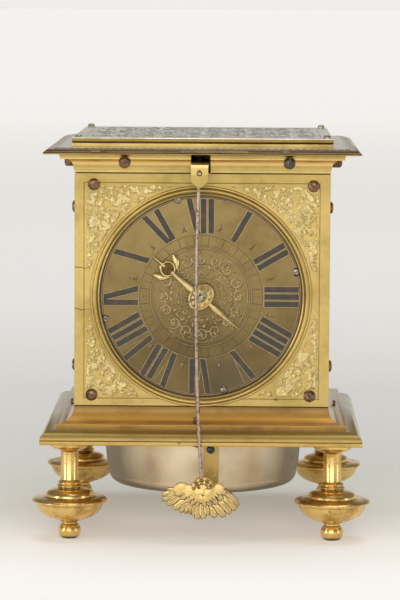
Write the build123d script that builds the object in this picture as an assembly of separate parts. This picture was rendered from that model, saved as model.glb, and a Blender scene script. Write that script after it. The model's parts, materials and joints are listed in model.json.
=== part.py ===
"""Square brass table clock with a front pendulum, a verge escapement and a bell under the base.

Millimetres, +Z up, the front faces -Y. The origin is on the floor under the middle of the case.
The dial side is seen along +Y: a turn that takes +Z to +X is clockwise on the dial.
"""
from build123d import *
import os
from math import atan2, cos, degrees, hypot, pi, radians, sin, sqrt

# ---------------------------------------------------------------- driving dimensions: fits
fit = 0.1                   # clearance round a screw or a plain pin
running = 0.05              # clearance of a turning fit
past = 1.0                  # how far a cutting tool runs past the face it leaves
quarter_bulge = 1 - sqrt(0.5)   # of a quarter circle from its chord, as a share of the radius

# ---------------------------------------------------------------- driving dimensions: case
body_half = 62.0            # half the width of the square case, over the panels
panel_thickness = 1.6
front_margin = 9.7          # how much less tall than wide the front is
post_width = 11.0
post_head_gap = 0.4         # below the underside of the cornice lip
screw_inset = 8.8           # panel screws, in from the case's side face
front_screw_rise = 5.8      # panel screws, in from the panel's top and bottom edges
side_screw_rise = 18.7

base_plate_thickness = 1.9
base_plate_round = 0.5
base_edge_height = 1.5      # upright edge of the moulding, above the plate
base_edge_out = 7.5         # how far each member stands out from the one above it
base_fillet_out = 1.8
base_cove_out = 6.7
base_ovolo_radius = 3.6
base_fillet_height = 2.4
base_cove_height = 7.6
moulding_wall = 2.5
moulding_back_rise = 1.2    # where the back of the moulding meets the case wall, above the fillet

cornice_fascia_height = 1.7
cornice_cove_height = 3.8
cornice_cove_out = 3.9
cornice_step_height = 1.6
cornice_step_out = 3.6
cornice_crown_height = 2.6
lip_out = 7.1
lip_thickness = 1.0
lip_quirk = 1.2             # flat under the lip, outside the crown moulding
band_rise = 1.8             # sloping band between the lip and the lid
band_wall = 0.3
lid_rim_height = 2.1
lid_overhang = 1.2
lid_thickness = 2.2
lid_chamfer = 0.35
lid_screw_inset = 3.1
lid_seat_width = 6.0
cornice_wall = 1.0

foot_height = 47.4
foot_inset = 13.9           # foot axis, in from the edge of the base plate
rear_foot_inset = 10.0      # the rear pair stands further in from the back
foot_sole_radius = 3.6
foot_ball_radius = 5.6
foot_ball_waist = 3.8
foot_neck_radius = 3.7
foot_neck_height = 7.4
foot_neck_step = 1.0
foot_bowl_depth = 8.7
foot_bowl_radius = 16.3
foot_rim_radius = 18.5
foot_rim_under = 1.3        # underside of the rim, up from the bowl to its edge
foot_rim_height = 0.9
foot_brim_height = 2.3
foot_cushion_radius = 12.0
foot_cushion_height = 3.4
foot_collar_radius = 6.3
foot_ring_height = 1.0
foot_ring_step = 0.7
foot_column_radius = 4.3
foot_flange_curve = 3.2     # height of the rounded underside of the flange
foot_flange_radius = 9.8
foot_flange_thickness = 1.3

# ---------------------------------------------------------------- driving dimensions: fasteners
panel_screw_head = 2.9
panel_screw_shank = 1.5
panel_screw_length = 7.0
screw_head_height = 1.7
screw_edge_share = 0.25      # of the head's height, bevelled off its rim
screw_slot_share = 0.3       # of the head's radius
screw_slot_depth_share = 0.45
small_screw_head = 1.65
small_screw_shank = 0.9
base_screw_length = 3.4
base_screw_head_height = 1.2
base_screw_offset = 2.0     # the front one, left of the dial's middle
base_screw_rise = 1.6       # above the base fillet
base_screw_depth = 4.2      # its seat, out from the panel
cornice_screw_across = 39.6
cornice_screw_depth = 0.5   # its seat, out from the cove
cornice_screw_length = 5.6
lid_screw_grip = 1.6
dial_screw_grip = 1.5
dial_screw_head_height = 0.9

# ---------------------------------------------------------------- driving dimensions: dial and hand
dial_x = -0.4
dial_margin = 13.1          # from the dial's edge to the case's side
dial_thickness = 1.2
dial_gap = 0.3              # between the dial's edge and the bezel
bezel_width = 4.7
bezel_foot_gap = 0.3        # from the bezel down to the base moulding
bezel_height = 2.2
bezel_edge = 0.8            # upright outer edge
bezel_fall = 0.9            # how far the inner edge falls from the crest
bezel_crest = 0.55          # where the crest lies, as a share of the width
dial_screw_inset = 1.5
first_dial_screw = 346.5    # clock angle, clockwise from twelve
dial_seat_lap = 4.9         # how far the seat reaches in under the dial
dial_seat_margin = 0.9
dial_seat_thickness = 1.6
dial_hole = 2.6
hand_angle = 310.0          # clock angle of the pointer
hand_sink = 0.3             # back of the hand, inside the bezel's crest
hand_reach = 29.3
hand_tail = 25.0
hand_ring_centre = 20.0
hand_ring_radius = 4.0
hand_ring_wall = 1.2
hand_lap = 0.5              # how far the ring's neighbours run into it
hand_thickness = 0.9
hand_boss_long = 7.5
hand_boss_short = 5.5
hand_boss_height = 1.5
hand_tip_half = 1.5
hand_neck_half = 2.2
hand_neck_end_half = 0.9
hand_tail_half = 2.0
hand_tail_waist_half = 1.0
hand_leaf_half = 2.1
hand_pin_radius = 0.5
hand_pin_length = 9.2
hand_pin_place = 1.2        # in front of the boss
hour_arbor_radius = 1.1
hour_arbor_end = 2.4        # out of the boss
hour_collar_radius = 2.4
hour_collar_length = 2.0
hour_hub_radius = 3.2
hour_wheel_room = 5.0       # from the front movement plate to the hour wheel

# ---------------------------------------------------------------- driving dimensions: bell and stay
bell_radius = 49.2
bell_wall = 1.8
bell_height = 26.1
bell_gap = 2.9              # between the bell's rim and the base plate
bell_edge_radius = 5.0
bell_flare = 1.7            # how much narrower the bell is at its bottom edge
bell_swell = 0.8
bell_lip = 0.5
bell_lip_height = 4.0
bell_dish = 0.4             # how far the middle hangs below the bottom edge
bell_seat_margin = 2.5
bell_post_radius = 3.2
bell_stud_radius = 2.0
bell_stud_length = 3.4
bell_nut_radius = 4.2
bell_nut_height = 1.4
stay_left = 1.4
stay_width = 7.1
stay_thickness = 1.5
stay_gap = 6.8              # from the bell's side to the front of the stay
stay_length = 25.4
stay_screw_drop = 4.8       # below the base plate
stay_screw_across = 3.2
stay_screw_head = 2.0
stay_screw_head_height = 1.3
stay_screw_grip = 2.6
stay_hole_across = 5.1
stay_hole_rise = 7.7
stay_hole_radius = 0.8
stay_lug_depth = 3.4
stay_lug_height = 8.2

# ---------------------------------------------------------------- driving dimensions: pendulum
verge_x = -1.2
verge_rise = 1.8            # above the top of the panels
verge_radius = 1.0
verge_swing = 15.0          # degrees each way
pendulum_clear = 2.4        # rod axis, in front of the base plate's edge
rod_radius = 0.85
rod_bow = 2.3
rod_seat = 1.0              # how far the rod runs into the bob, above its middle
rod_foot_offset = 0.4       # the rod's foot, right of the bob's middle
rod_lean_room = 1.0         # left of it in the bob's channel, where the rod leans
rod_sink = 0.6              # how far it runs into the collet
collet_radius = 1.55
collet_length = 3.0
collet_setback = 0.7
cock_width = 8.3
cock_offset = 0.05          # right of the verge
cock_rise = 3.2             # top of the arm above the verge
cock_drop = 8.4             # point of the shield below the verge
cock_shoulder = 3.5         # height of the shield's pointed part
cock_point_radius = 2.2
cock_arm_thickness = 1.5
cock_tab_thickness = 1.6
cock_tab_gap = 0.6          # between the rod and the shield
cock_flange_height = 8.0
cock_flange_thickness = 2.0
cock_verge_room = 0.5
cock_slot_left_gap = 0.3
cock_slot_right_gap = 0.8
cock_slot_depth = 8.0       # in behind the panel
rear_cock_half = 5.0
rear_cock_drop = 12.0
rear_cock_rise = 3.5
rear_cock_thickness = 2.0
bob_thickness = 2.6
bob_front_share = 0.55      # how much of the bob lies in front of the rod's axis
bob_plate_share = 0.62
bob_x = 0.6
bob_z = 24.0
bob_head_radius = 6.2
bob_head_rise = 3.1
bob_tail_drop = 9.0         # the lobe under the chin, and the neck that joins it to the head
bob_tail_radius = 3.1
bob_neck_drop = 5.0
bob_neck_width = 7.0
bob_neck_height = 9.0
feather_half_width = 1.9
wing_feathers = 5
left_wing_length = 20.0     # the top feather, and how much shorter each one below it is
left_wing_fall = 2.3
left_wing_bearing = 183.0
left_wing_turn = 12.0
left_shoulder_out = 9.8
left_shoulder_rise = 2.6
left_shoulder_radius = 3.7
right_wing_length = 19.0
right_wing_fall = 1.7
right_wing_bearing = -7.0
right_wing_turn = -13.0
right_shoulder_out = 9.5
right_shoulder_rise = 1.0
right_shoulder_radius = 3.2

# ---------------------------------------------------------------- driving dimensions: movement
dial_room = 16.4            # from the panel's inner face to the front movement plate
rear_room = 28.4            # from the rear movement plate to the panel's inner face
movement_margin = 10.4      # from the movement plates to the case's side walls
movement_head_gap = 1.8     # from the top of the plates to the top of the panels
plate_thickness = 2.0
pillar_radius = 2.5
pillar_inset = 4.0          # in from the plates' top and bottom edges
pillar_spread = 9.0          # lower pillars, each way from where the great wheels come nearest
pivot_radius = 0.8
fine_pivot_radius = 0.5
arbor_radius = 1.1
wheel_thickness = 1.2
wheel_rim = 2.4             # rim left outside the crossings, under the teeth
wheel_hub = 2.6
wheel_arm = 1.6
pin_wheel_rim = 4.4         # wide enough for the lifting pins
pinion_width = 5.0

hour_module = 0.9
count_module = 0.9
train_module = 0.6
motion_addendum = 0.9       # of the hour wheel and the countwheel, in modules
great_teeth, great_leaf_teeth = 48, 8
hour_teeth, hour_leaf_teeth = 48, 4
second_teeth, third_leaf_teeth = 50, 6
third_teeth, contrate_leaf_teeth = 36, 6
contrate_teeth, crown_leaf_teeth = 36, 6
crown_teeth = 15
pin_teeth, hoop_leaf_teeth = 48, 6
hoop_teeth, warning_leaf_teeth = 36, 6
warning_teeth, fly_leaf_teeth = 30, 6
count_teeth, count_leaf_teeth = 39, 4
lifting_pin_count = 8
strike_hour_count = 12

# Where each arbor of the striking train stands from the one before it, from +X towards +Z.
pin_bearing = 80.0
hoop_bearing = 120.0
warning_bearing = 60.0
fly_bearing = 100.0
count_bearing = 60.0

# Where each wheel stands, back from the inner face of the front plate.
great_wheel_room = 4.0
crown_room = 18.0
warning_wheel_room = 22.0
third_wheel_room = 36.0
second_wheel_room = 50.0
pinion_lead = 2.0           # how far a pinion reaches forward of its wheel
great_pinion_lead = 1.5
second_lead = 1.0           # the one-hour arbor, forward of the hour wheel
hour_pinion_width = 3.2

barrel_side_room = 11.95    # from the great wheel to the case's wall
barrel_middle_gap = 0.95    # from the great wheel to the dial's centre line
barrel_foot_gap = 6.1       # from the great wheel down to the base plate
great_wheel_thickness = 2.0
drum_length = 38.0
drum_inset = 3.75           # how much smaller the drum is than the great wheel
drum_wall = 1.2
drum_cap = 1.5
barrel_core_radius = 4.0
barrel_arbor_radius = 2.0
spring_thickness = 0.6
spring_gap = 0.4            # from each end of the drum
spring_outer_gap = 0.15
spring_inner_gap = 0.9
spring_turn_count = 4
spring_flat_count = 18      # flats in each turn
winding_square = 3.2
winding_end_gap = 2.4       # from the square's end to the rear panel's inner face
keyhole_radius = 5.0
ratchet_radius = 8.0
ratchet_depth = 1.5
ratchet_thickness = 2.0
ratchet_gap = 1.0
ratchet_teeth = 16
click_length = 9.0
click_radius = 1.6
click_boss = 0.4
click_thickness = 1.6
click_tip = 0.6
click_clear = 0.15
click_stud_depth = 1.5
click_bearing = 30.0        # where the click's tip stands, in degrees from +X towards +Z

crown_radius = 9.0
crown_wall = 1.2
crown_height = 6.1
crown_tooth_depth = 2.6
pallet_reach = 3.4
pallet_width = 3.0
pallet_thickness = 0.8
pallet_spread = 96.0        # degrees between the two pallets
crown_clearance = 0.4       # between the teeth and the lowest sweep of a pallet
bridge_gap = 0.3            # over the crown wheel's teeth
bridge_verge_gap = 0.5
bridge_width = 6.0
bridge_side_gap = 2.5
bridge_nose_half = 2.4
bridge_nose_depth = 3.0
bridge_flange_height = 12.0
bridge_flange_thickness = 2.2
potence_rise = 6.9          # above the contrate arbor
potence_thickness = 2.4
potence_reach = 2.0
crown_pinion_width = 3.6
crown_pinion_gap = 0.6
contrate_thickness = 1.2
contrate_rise = 6.12        # above the dial's centre

lifting_pin_circle = 11.0
lifting_pin_radius = 0.8
lifting_pin_length = 3.3
hammer_room = 3.0           # hammer plane, back from the pin wheel
hammer_arbor_gap = 1.0      # from the great wheel of the striking train
hammer_arm_radius = 1.3
hammer_head_radius = 4.0
hammer_head_length = 8.0
hammer_head_drop = 7.0      # head axis, below the bell's rim
hammer_arm_inset = 2.6      # arm, in from the striking face
hammer_gap = 0.8
hammer_tail_half = 1.0
hammer_tail_gap = 0.3
hammer_slot_margin = 3.0
hammer_slot_swing = 10.5
fly_clear = 0.5
fly_length = 24.0
fly_half_thickness = 0.5
fly_vane_lead = 6.0
fly_pinion_lead = 16.0
count_gap = 1.4             # countwheel, back from the rear plate
count_disc_radius = 21.0
count_disc_thickness = 1.4
count_disc_gap = 1.2
count_hub_radius = 4.0
count_stud_radius = 1.5
count_stud_head_radius = 2.6
count_stud_head = 0.8
count_notch_half = 1.1
count_notch_depth = 2.2
count_pinion_width = 2.0
count_pinion_lead = 0.4

# ---------------------------------------------------------------- the case, member by member
inner_half = body_half - panel_thickness
base_plate_bottom = foot_height
base_plate_top = base_plate_bottom + base_plate_thickness
base_fillet_low = base_plate_top + base_edge_height + base_ovolo_radius
base_fillet_high = base_fillet_low + base_fillet_height
panel_bottom = base_fillet_high + base_cove_height
panel_top = panel_bottom + 2 * body_half - front_margin
base_cove_half = body_half + base_cove_out
base_fillet_half = base_cove_half + base_fillet_out
plate_half = base_fillet_half + base_edge_out
base_screw_height = base_fillet_high + base_screw_rise
base_screw_seat = body_half + base_screw_depth

cornice_fillet_high = panel_top + cornice_fascia_height
cornice_cove_high = cornice_fillet_high + cornice_cove_height
cornice_step_high = cornice_cove_high + cornice_step_height
lip_low = cornice_step_high + cornice_crown_height
lip_high = lip_low + lip_thickness
lid_band_low = lip_high + band_rise
lid_seat = lid_band_low + lid_rim_height
lid_top = lid_seat + lid_thickness
cornice_cove_half = body_half + cornice_cove_out
cornice_step_half = cornice_cove_half + cornice_step_out
lip_half = cornice_step_half + lip_out
lid_half = body_half + lid_overhang
lid_screw_place = lid_half - lid_screw_inset
cornice_flange_half = lid_half - lid_seat_width
cornice_screw_seat = cornice_cove_half + cornice_screw_depth
post_top = lip_low - post_head_gap

foot_place = plate_half - foot_inset
rear_foot_place = foot_place - rear_foot_inset

# ---------------------------------------------------------------- places on the dial and the bell
dial_radius = body_half - dial_margin
dial_front = -inner_half - dial_thickness
bezel_inner = dial_radius + dial_gap
bezel_outer = bezel_inner + bezel_width
dial_point = (dial_x, panel_bottom + bezel_foot_gap + bezel_outer)
dial_screw_circle = dial_radius - dial_screw_inset
dial_seat_inner = dial_radius - dial_seat_lap
dial_seat_outer = bezel_outer - dial_seat_margin
dial_seat_back = -inner_half + dial_seat_thickness
hand_back = -body_half - bezel_height + hand_sink
hand_front = hand_back - hand_thickness
boss_front = hand_front - hand_boss_height
hand_pin_y = boss_front - hand_pin_place

bell_rim = base_plate_bottom - bell_gap
bell_bottom = bell_rim - bell_height
stay_front = -(bell_radius + stay_gap)
stay_back = stay_front + stay_thickness
stay_low = base_plate_bottom - stay_length
stay_screw_point = (stay_left + stay_screw_across, base_plate_bottom - stay_screw_drop)

# ---------------------------------------------------------------- places in the movement
front_plate_front = -inner_half + dial_room
front_plate_back = front_plate_front + plate_thickness
rear_plate_back = inner_half - rear_room
rear_plate_front = rear_plate_back - plate_thickness
plate_half_width = inner_half - movement_margin
plate_top = panel_top - movement_head_gap
hour_wheel_front = front_plate_front - hour_wheel_room
second_front = hour_wheel_front - second_lead
great_wheel_front = front_plate_back + great_wheel_room
drum_front = great_wheel_front + great_wheel_thickness
drum_back = drum_front + drum_length
warning_wheel_front = front_plate_back + warning_wheel_room
third_wheel_front = front_plate_back + third_wheel_room
second_wheel_front = front_plate_back + second_wheel_room
crown_y = front_plate_back + crown_room
ratchet_front = rear_plate_back + ratchet_gap
ratchet_back = ratchet_front + ratchet_thickness
count_front = rear_plate_back + count_gap

verge_z = panel_top + verge_rise
verge_point = (verge_x, verge_z)
pendulum_y = -(plate_half + pendulum_clear)
tab_back = pendulum_y - rod_radius - cock_tab_gap
tab_front = tab_back - cock_tab_thickness
collet_front = pendulum_y - collet_length / 2
cock_x = verge_x + cock_offset
cock_left = cock_x - cock_width / 2
cock_right = cock_x + cock_width / 2
cock_arm_top = verge_z + cock_rise
rod_low = bob_z + rod_seat
rod_foot_x = bob_x + rod_foot_offset


def step_from(point, distance, bearing):
    """The place at a distance from a point, at a bearing in degrees from +X towards +Z."""
    return (
        point[0] + distance * cos(radians(bearing)),
        point[1] + distance * sin(radians(bearing)),
    )


def bearing(here, there):
    return degrees(atan2(there[1] - here[1], there[0] - here[0]))


def apart(module, wheel, pinion):
    """Centre distance of a wheel and its pinion."""
    return module * (wheel + pinion) / 2


def meet(here, near, there, far):
    """The place at one distance from here and another from there, on the left of the way between."""
    span = hypot(there[0] - here[0], there[1] - here[1])
    along = (near ** 2 - far ** 2 + span ** 2) / (2 * span)
    on_the_way = step_from(here, along, bearing(here, there))
    return step_from(on_the_way, sqrt(near ** 2 - along ** 2), bearing(here, there) + 90)


great_tip_radius = (inner_half - barrel_side_room - barrel_middle_gap) / 2
barrel_module = 2 * great_tip_radius / (great_teeth + 2)
drum_radius = great_tip_radius - drum_inset
great_distance = apart(barrel_module, great_teeth, great_leaf_teeth)
going_point = (
    dial_x + barrel_middle_gap + great_tip_radius, base_plate_top + great_tip_radius + barrel_foot_gap
)
second_point = meet(
    dial_point, apart(hour_module, hour_teeth, hour_leaf_teeth), going_point, great_distance
)
contrate_point = (verge_x, dial_point[1] + contrate_rise)
third_point = meet(
    contrate_point, apart(train_module, third_teeth, contrate_leaf_teeth),
    second_point, apart(train_module, second_teeth, third_leaf_teeth),
)
strike_point = (2 * dial_x - going_point[0], going_point[1])
pin_point = step_from(strike_point, great_distance, pin_bearing)
hoop_point = step_from(pin_point, apart(train_module, pin_teeth, hoop_leaf_teeth), hoop_bearing)
warning_point = step_from(
    hoop_point, apart(train_module, hoop_teeth, warning_leaf_teeth), warning_bearing
)
fly_distance = apart(train_module, warning_teeth, fly_leaf_teeth)
fly_point = step_from(warning_point, fly_distance, fly_bearing)
count_point = step_from(pin_point, apart(count_module, count_teeth, count_leaf_teeth), count_bearing)

crown_tip_z = verge_z - pallet_reach * cos(radians(pallet_spread / 2 - verge_swing)) - crown_clearance
crown_low = crown_tip_z - crown_height
bridge_low = crown_tip_z + bridge_gap
bridge_top = verge_z - verge_radius - bridge_verge_gap
bridge_side = verge_x + crown_radius + bridge_side_gap
potence_top = contrate_point[1] + potence_rise
contrate_radius = train_module * contrate_teeth / 2
contrate_outer = contrate_radius + 0.7 * train_module
contrate_inner = contrate_radius - 1.4 * train_module
contrate_root_y = crown_y + train_module * (crown_leaf_teeth / 2 + 1.25)
contrate_tip_y = crown_y + train_module * (crown_leaf_teeth / 2 - 0.8)

hammer_y = second_wheel_front + hammer_room
hammer_head_z = bell_rim - hammer_head_drop
hammer_face = hammer_gap - sqrt(
    (bell_radius - bell_wall - bell_lip) ** 2 - (hammer_y + hammer_head_radius) ** 2
)
hammer_x = hammer_face + hammer_arm_inset
hammer_clear = great_tip_radius + arbor_radius + hammer_arbor_gap
hammer_point = (hammer_x, strike_point[1] + sqrt(hammer_clear ** 2 - (hammer_x - strike_point[0]) ** 2))
great_middle = (going_point[0] + strike_point[0]) / 2    # where the two great wheels come nearest


# ---------------------------------------------------------------- shapes used everywhere
def block(x0, x1, y0, y1, z0, z1):
    """A box from its two opposite corners."""
    return Pos((x0 + x1) / 2, (y0 + y1) / 2, (z0 + z1) / 2) * Box(x1 - x0, y1 - y0, z1 - z0)


def rod_y(point, radius, front, back):
    """A round bar or disc along Y."""
    return Pos(point[0], (front + back) / 2, point[1]) * Rot(90, 0, 0) * Cylinder(radius, back - front)


def rod_x(y, z, radius, left, right):
    return Pos((left + right) / 2, y, z) * Rot(0, 90, 0) * Cylinder(radius, right - left)


def rod_z(x, y, radius, low, high):
    return Pos(x, y, (low + high) / 2) * Cylinder(radius, high - low)


def prism_y(points, front, back):
    """A flat outline of (x, z) points, made solid from y = front to y = back."""
    outline = make_face(Polyline(*[(x, front, z) for x, z in points], close=True))
    return extrude(outline, amount=back - front, dir=(0, 1, 0))


def at(point, turn=0.0):
    """A place on the dial side, turned clockwise by an angle."""
    return Pos(point[0], 0, point[1]) * Rot(0, turn, 0)


def arc_in_section(start, end, bulge):
    """An arc of a turned or moulded section, as (out, up) points, bulging aside from its chord."""
    middle = ((start[0] + end[0]) / 2, (start[1] + end[1]) / 2)
    chord = hypot(end[0] - start[0], end[1] - start[1])
    aside = ((end[1] - start[1]) / chord, (start[0] - end[0]) / chord)
    return ThreePointArc(
        (start[0], 0, start[1]),
        (middle[0] + bulge * aside[0], 0, middle[1] + bulge * aside[1]),
        (end[0], 0, end[1]),
    )


def line_in_section(*points):
    return Polyline(*[(out, 0, up) for out, up in points])


def toothed(point, front, back, teeth, module, towards, root_share=0.62, tip_share=0.22,
            addendum=1.0, dedendum=1.25):
    """A spur wheel or pinion with one tooth centred on the bearing it is given."""
    pitch_radius = module * teeth / 2
    step = 2 * pi / teeth
    root = pitch_radius - dedendum * module
    tip = pitch_radius + addendum * module
    corners = ((root, -root_share), (tip, -tip_share), (tip, tip_share), (root, root_share))
    points = []
    for tooth in range(teeth):
        for radius, share in corners:
            angle = radians(towards) + (tooth + share / 2) * step
            points.append((point[0] + radius * cos(angle), point[1] + radius * sin(angle)))
    return prism_y(points, front, back)


def pinion(point, front, back, leaves, module, wheel_point):
    """A pinion with thin leaves and a gap facing its wheel."""
    gap = bearing(point, wheel_point)
    return toothed(point, front, back, leaves, module, gap + 180 / leaves,
                   root_share=0.34, tip_share=0.2, addendum=0.8, dedendum=1.2 if leaves > 4 else 1.0)


def crossings(point, front, outer):
    """The four openings between a wheel's arms, as one cutting tool."""
    ring = rod_y(point, outer, front - past, front + wheel_thickness + past)
    ring = ring - rod_y(point, wheel_hub, front - 2 * past, front + wheel_thickness + 2 * past)
    arms = [
        block(-outer, outer, front - 2 * past, front + wheel_thickness + 2 * past,
              -wheel_arm / 2, wheel_arm / 2),
        block(-wheel_arm / 2, wheel_arm / 2, front - 2 * past, front + wheel_thickness + 2 * past,
              -outer, outer),
    ]
    return ring - [at(point) * arm for arm in arms]


def rim_inside(module, teeth, rim=wheel_rim):
    """The radius inside a wheel's rim."""
    return module * (teeth / 2 - 1.25) - rim


def arbor(point, front=front_plate_front, back=rear_plate_back, radius=arbor_radius):
    """A steel arbor between the plates with a thinner pivot in each."""
    body = rod_y(point, radius, front_plate_back + running, rear_plate_front - running)
    return body + rod_y(point, pivot_radius, front, back)


def mitred(profile):
    """Four mitred lengths of moulding from a section of (half width, height) points and arcs."""
    reach = 2 * plate_half
    section = make_face(profile)
    strip = extrude(section, amount=reach, dir=(0, 1, 0)) + extrude(section, amount=reach, dir=(0, -1, 0))
    corner = make_face(Polyline((0, 0, 0), (reach, -reach, 0), (reach, reach, 0), close=True))
    length = strip & extrude(corner, amount=2 * lid_top, dir=(0, 0, 1))
    return [Rot(0, 0, 90 * side) * length for side in range(4)]


def screw(head_radius, shank_radius, length, head=screw_head_height):
    """A slotted screw standing on the origin, head up along +Z and shank below."""
    shank = Pos(0, 0, -length / 2) * Cylinder(shank_radius, length)
    top = Pos(0, 0, head / 2) * Cylinder(head_radius, head)
    top = chamfer(top.edges().group_by(Axis.Z)[-1], screw_edge_share * head)
    depth = screw_slot_depth_share * head
    slot = Pos(0, 0, head - depth / 2 + past / 2) * Box(2 * (head_radius + past), screw_slot_share * head_radius, depth + past)
    return (top - slot) + shank


def screw_bore(head_radius, shank_radius, length, room):
    """The hole and the spot face that a screw on the origin needs."""
    hole = Cylinder(shank_radius + fit, 2 * (length + fit))
    return hole + Pos(0, 0, room / 2) * Cylinder(head_radius + fit, room)


SIDES = ("front", "rear", "left", "right")
FACING = {
    "front": Rot(90, 0, 0), "rear": Rot(-90, 0, 0), "left": Rot(0, -90, 0), "right": Rot(0, 90, 0),
}


def on_side(side, across, out, height):
    """A place on one side of the case: across its width, out from the middle, up from the floor."""
    places = {
        "front": (across, -out, height), "rear": (-across, out, height),
        "left": (-out, -across, height), "right": (out, across, height),
    }
    return Pos(*places[side]) * FACING[side]


# ---------------------------------------------------------------- case
def base_screw_places():
    across = {"front": dial_x - base_screw_offset, "rear": 0, "left": 0, "right": 0}
    return [on_side(side, across[side], base_screw_seat, base_screw_height) for side in SIDES]


def base_moulding():
    """Cove, fillet and ovolo round the foot of the case, hollow behind."""
    edge = base_fillet_low - base_ovolo_radius
    ovolo = plate_half - base_ovolo_radius
    wall = plate_half - moulding_wall
    under = base_fillet_low - moulding_wall
    profile = [
        line_in_section((inner_half, panel_bottom), (body_half, panel_bottom)),
        arc_in_section((body_half, panel_bottom), (base_cove_half, base_fillet_high),
                       quarter_bulge * base_cove_out),
        line_in_section((base_cove_half, base_fillet_high), (base_fillet_half, base_fillet_high),
                        (base_fillet_half, base_fillet_low), (ovolo, base_fillet_low)),
        arc_in_section((ovolo, base_fillet_low), (plate_half, edge), -quarter_bulge * base_ovolo_radius),
        line_in_section((plate_half, edge), (plate_half, base_plate_top), (wall, base_plate_top),
                        (wall, under), (base_cove_half, under),
                        (inner_half, base_fillet_high + moulding_back_rise), (inner_half, panel_bottom)),
    ]
    bore = screw_bore(small_screw_head, small_screw_shank, base_screw_length, base_edge_out)
    return [strip - [place * bore for place in base_screw_places()] for strip in mitred(profile)]


def base_screws():
    fixing = screw(small_screw_head, small_screw_shank, base_screw_length, base_screw_head_height)
    return [place * fixing for place in base_screw_places()]


def base_plate():
    """The plate everything stands on, slotted for the hammer's arm."""
    plate = block(-plate_half, plate_half, -plate_half, plate_half, base_plate_bottom, base_plate_top)
    plate = fillet(plate.edges().filter_by(Axis.Z, reverse=True).group_by(Axis.Z)[0], base_plate_round)
    slot = block(hammer_point[0] - hammer_slot_margin, hammer_point[0] + hammer_slot_swing,
                 hammer_y - hammer_slot_margin, hammer_y + hammer_slot_margin,
                 base_plate_bottom - past, base_plate_top + past)
    return plate - slot


def foot():
    """A turned brass foot: ball, bowl under a thin rim, cushion, collar rings, column and flange."""
    bowl_low = foot_neck_height + foot_neck_step
    bowl_high = bowl_low + foot_bowl_depth
    rim_low = bowl_high + foot_rim_under
    rim_high = rim_low + foot_rim_height
    cushion = rim_high + foot_brim_height
    collar = cushion + foot_cushion_height
    column = collar + 4 * foot_ring_height
    flange = foot_height - foot_flange_thickness
    waist = foot_collar_radius - foot_ring_step
    half = [
        line_in_section((0, 0), (foot_sole_radius, 0)),
        ThreePointArc((foot_sole_radius, 0, 0), (foot_ball_radius, 0, foot_ball_waist),
                      (foot_neck_radius, 0, foot_neck_height)),
        line_in_section((foot_neck_radius, foot_neck_height), (foot_neck_radius + foot_neck_step, bowl_low)),
        arc_in_section((foot_neck_radius + foot_neck_step, bowl_low), (foot_bowl_radius, bowl_high),
                       0.18 * foot_bowl_radius),
        line_in_section((foot_bowl_radius, bowl_high), (foot_rim_radius, rim_low), (foot_rim_radius, rim_high)),
        arc_in_section((foot_rim_radius, rim_high), (foot_cushion_radius, cushion), -0.3 * foot_brim_height),
        arc_in_section((foot_cushion_radius, cushion), (waist, collar), 0.3 * foot_cushion_height),
        line_in_section((waist, collar), (foot_collar_radius, collar + 0.7 * foot_ring_height),
                        (waist, collar + 1.7 * foot_ring_height),
                        (foot_collar_radius, collar + 2.6 * foot_ring_height),
                        (foot_column_radius + 0.5 * foot_ring_step, column - 0.4 * foot_ring_height),
                        (foot_column_radius, column), (foot_column_radius, flange - foot_flange_curve)),
        arc_in_section((foot_column_radius, flange - foot_flange_curve), (foot_flange_radius, flange),
                       0.3 * foot_flange_curve),
        line_in_section((foot_flange_radius, flange), (foot_flange_radius, foot_height),
                        (0, foot_height), (0, 0)),
    ]
    return revolve(make_face(half), axis=Axis.Z)


def feet():
    turned = foot()
    places = [(x, y) for x in (-foot_place, foot_place) for y in (-foot_place, rear_foot_place)]
    return [Pos(x, y, 0) * turned for x, y in places]


def panel_screw_places(only=SIDES):
    """Where the panel screws stand, on some of the sides."""
    across = body_half - screw_inset
    rises = {"front": front_screw_rise, "rear": front_screw_rise,
             "left": side_screw_rise, "right": side_screw_rise}
    return [
        on_side(side, sign * across, body_half, height)
        for side in only
        for sign in (-1, 1)
        for height in (panel_bottom + rises[side], panel_top - rises[side])
    ]


def panel_screw_holes(only=SIDES):
    hole = Cylinder(panel_screw_shank + fit, 2 * (panel_screw_length + fit))
    return [place * hole for place in panel_screw_places(only)]


def panel_screws():
    fixing = screw(panel_screw_head, panel_screw_shank, panel_screw_length)
    return [place * fixing for place in panel_screw_places()]


def front_panel():
    sheet = block(-body_half, body_half, -body_half, -inner_half, panel_bottom, panel_top)
    opening = rod_y(dial_point, bezel_inner, -body_half - past, -inner_half + past)
    return sheet - [opening] - panel_screw_holes(["front"])


def rear_panel():
    sheet = block(-body_half, body_half, inner_half, body_half, panel_bottom, panel_top)
    keyholes = [
        rod_y(point, keyhole_radius, inner_half - past, body_half + past)
        for point in (going_point, strike_point)
    ]
    return sheet - keyholes - panel_screw_holes(["rear"])


def side_panel(side):
    x0, x1 = (-body_half, -inner_half) if side == "left" else (inner_half, body_half)
    return block(x0, x1, -inner_half, inner_half, panel_bottom, panel_top) - panel_screw_holes([side])


def corner_posts():
    holes = panel_screw_holes()
    posts = []
    for sx in (-1, 1):
        for sy in (-1, 1):
            x0, x1 = sorted((sx * inner_half, sx * (inner_half - post_width)))
            y0, y1 = sorted((sy * inner_half, sy * (inner_half - post_width)))
            posts.append(block(x0, x1, y0, y1, base_plate_top, post_top) - holes)
    return posts


def cornice_screw_places():
    return [
        on_side(side, sign * cornice_screw_across, cornice_screw_seat, cornice_cove_high)
        for side in SIDES for sign in (-1, 1)
    ]


def lid_screw_places():
    return [(x, y) for x in (-lid_screw_place, lid_screw_place) for y in (-lid_screw_place, lid_screw_place)]


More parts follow.
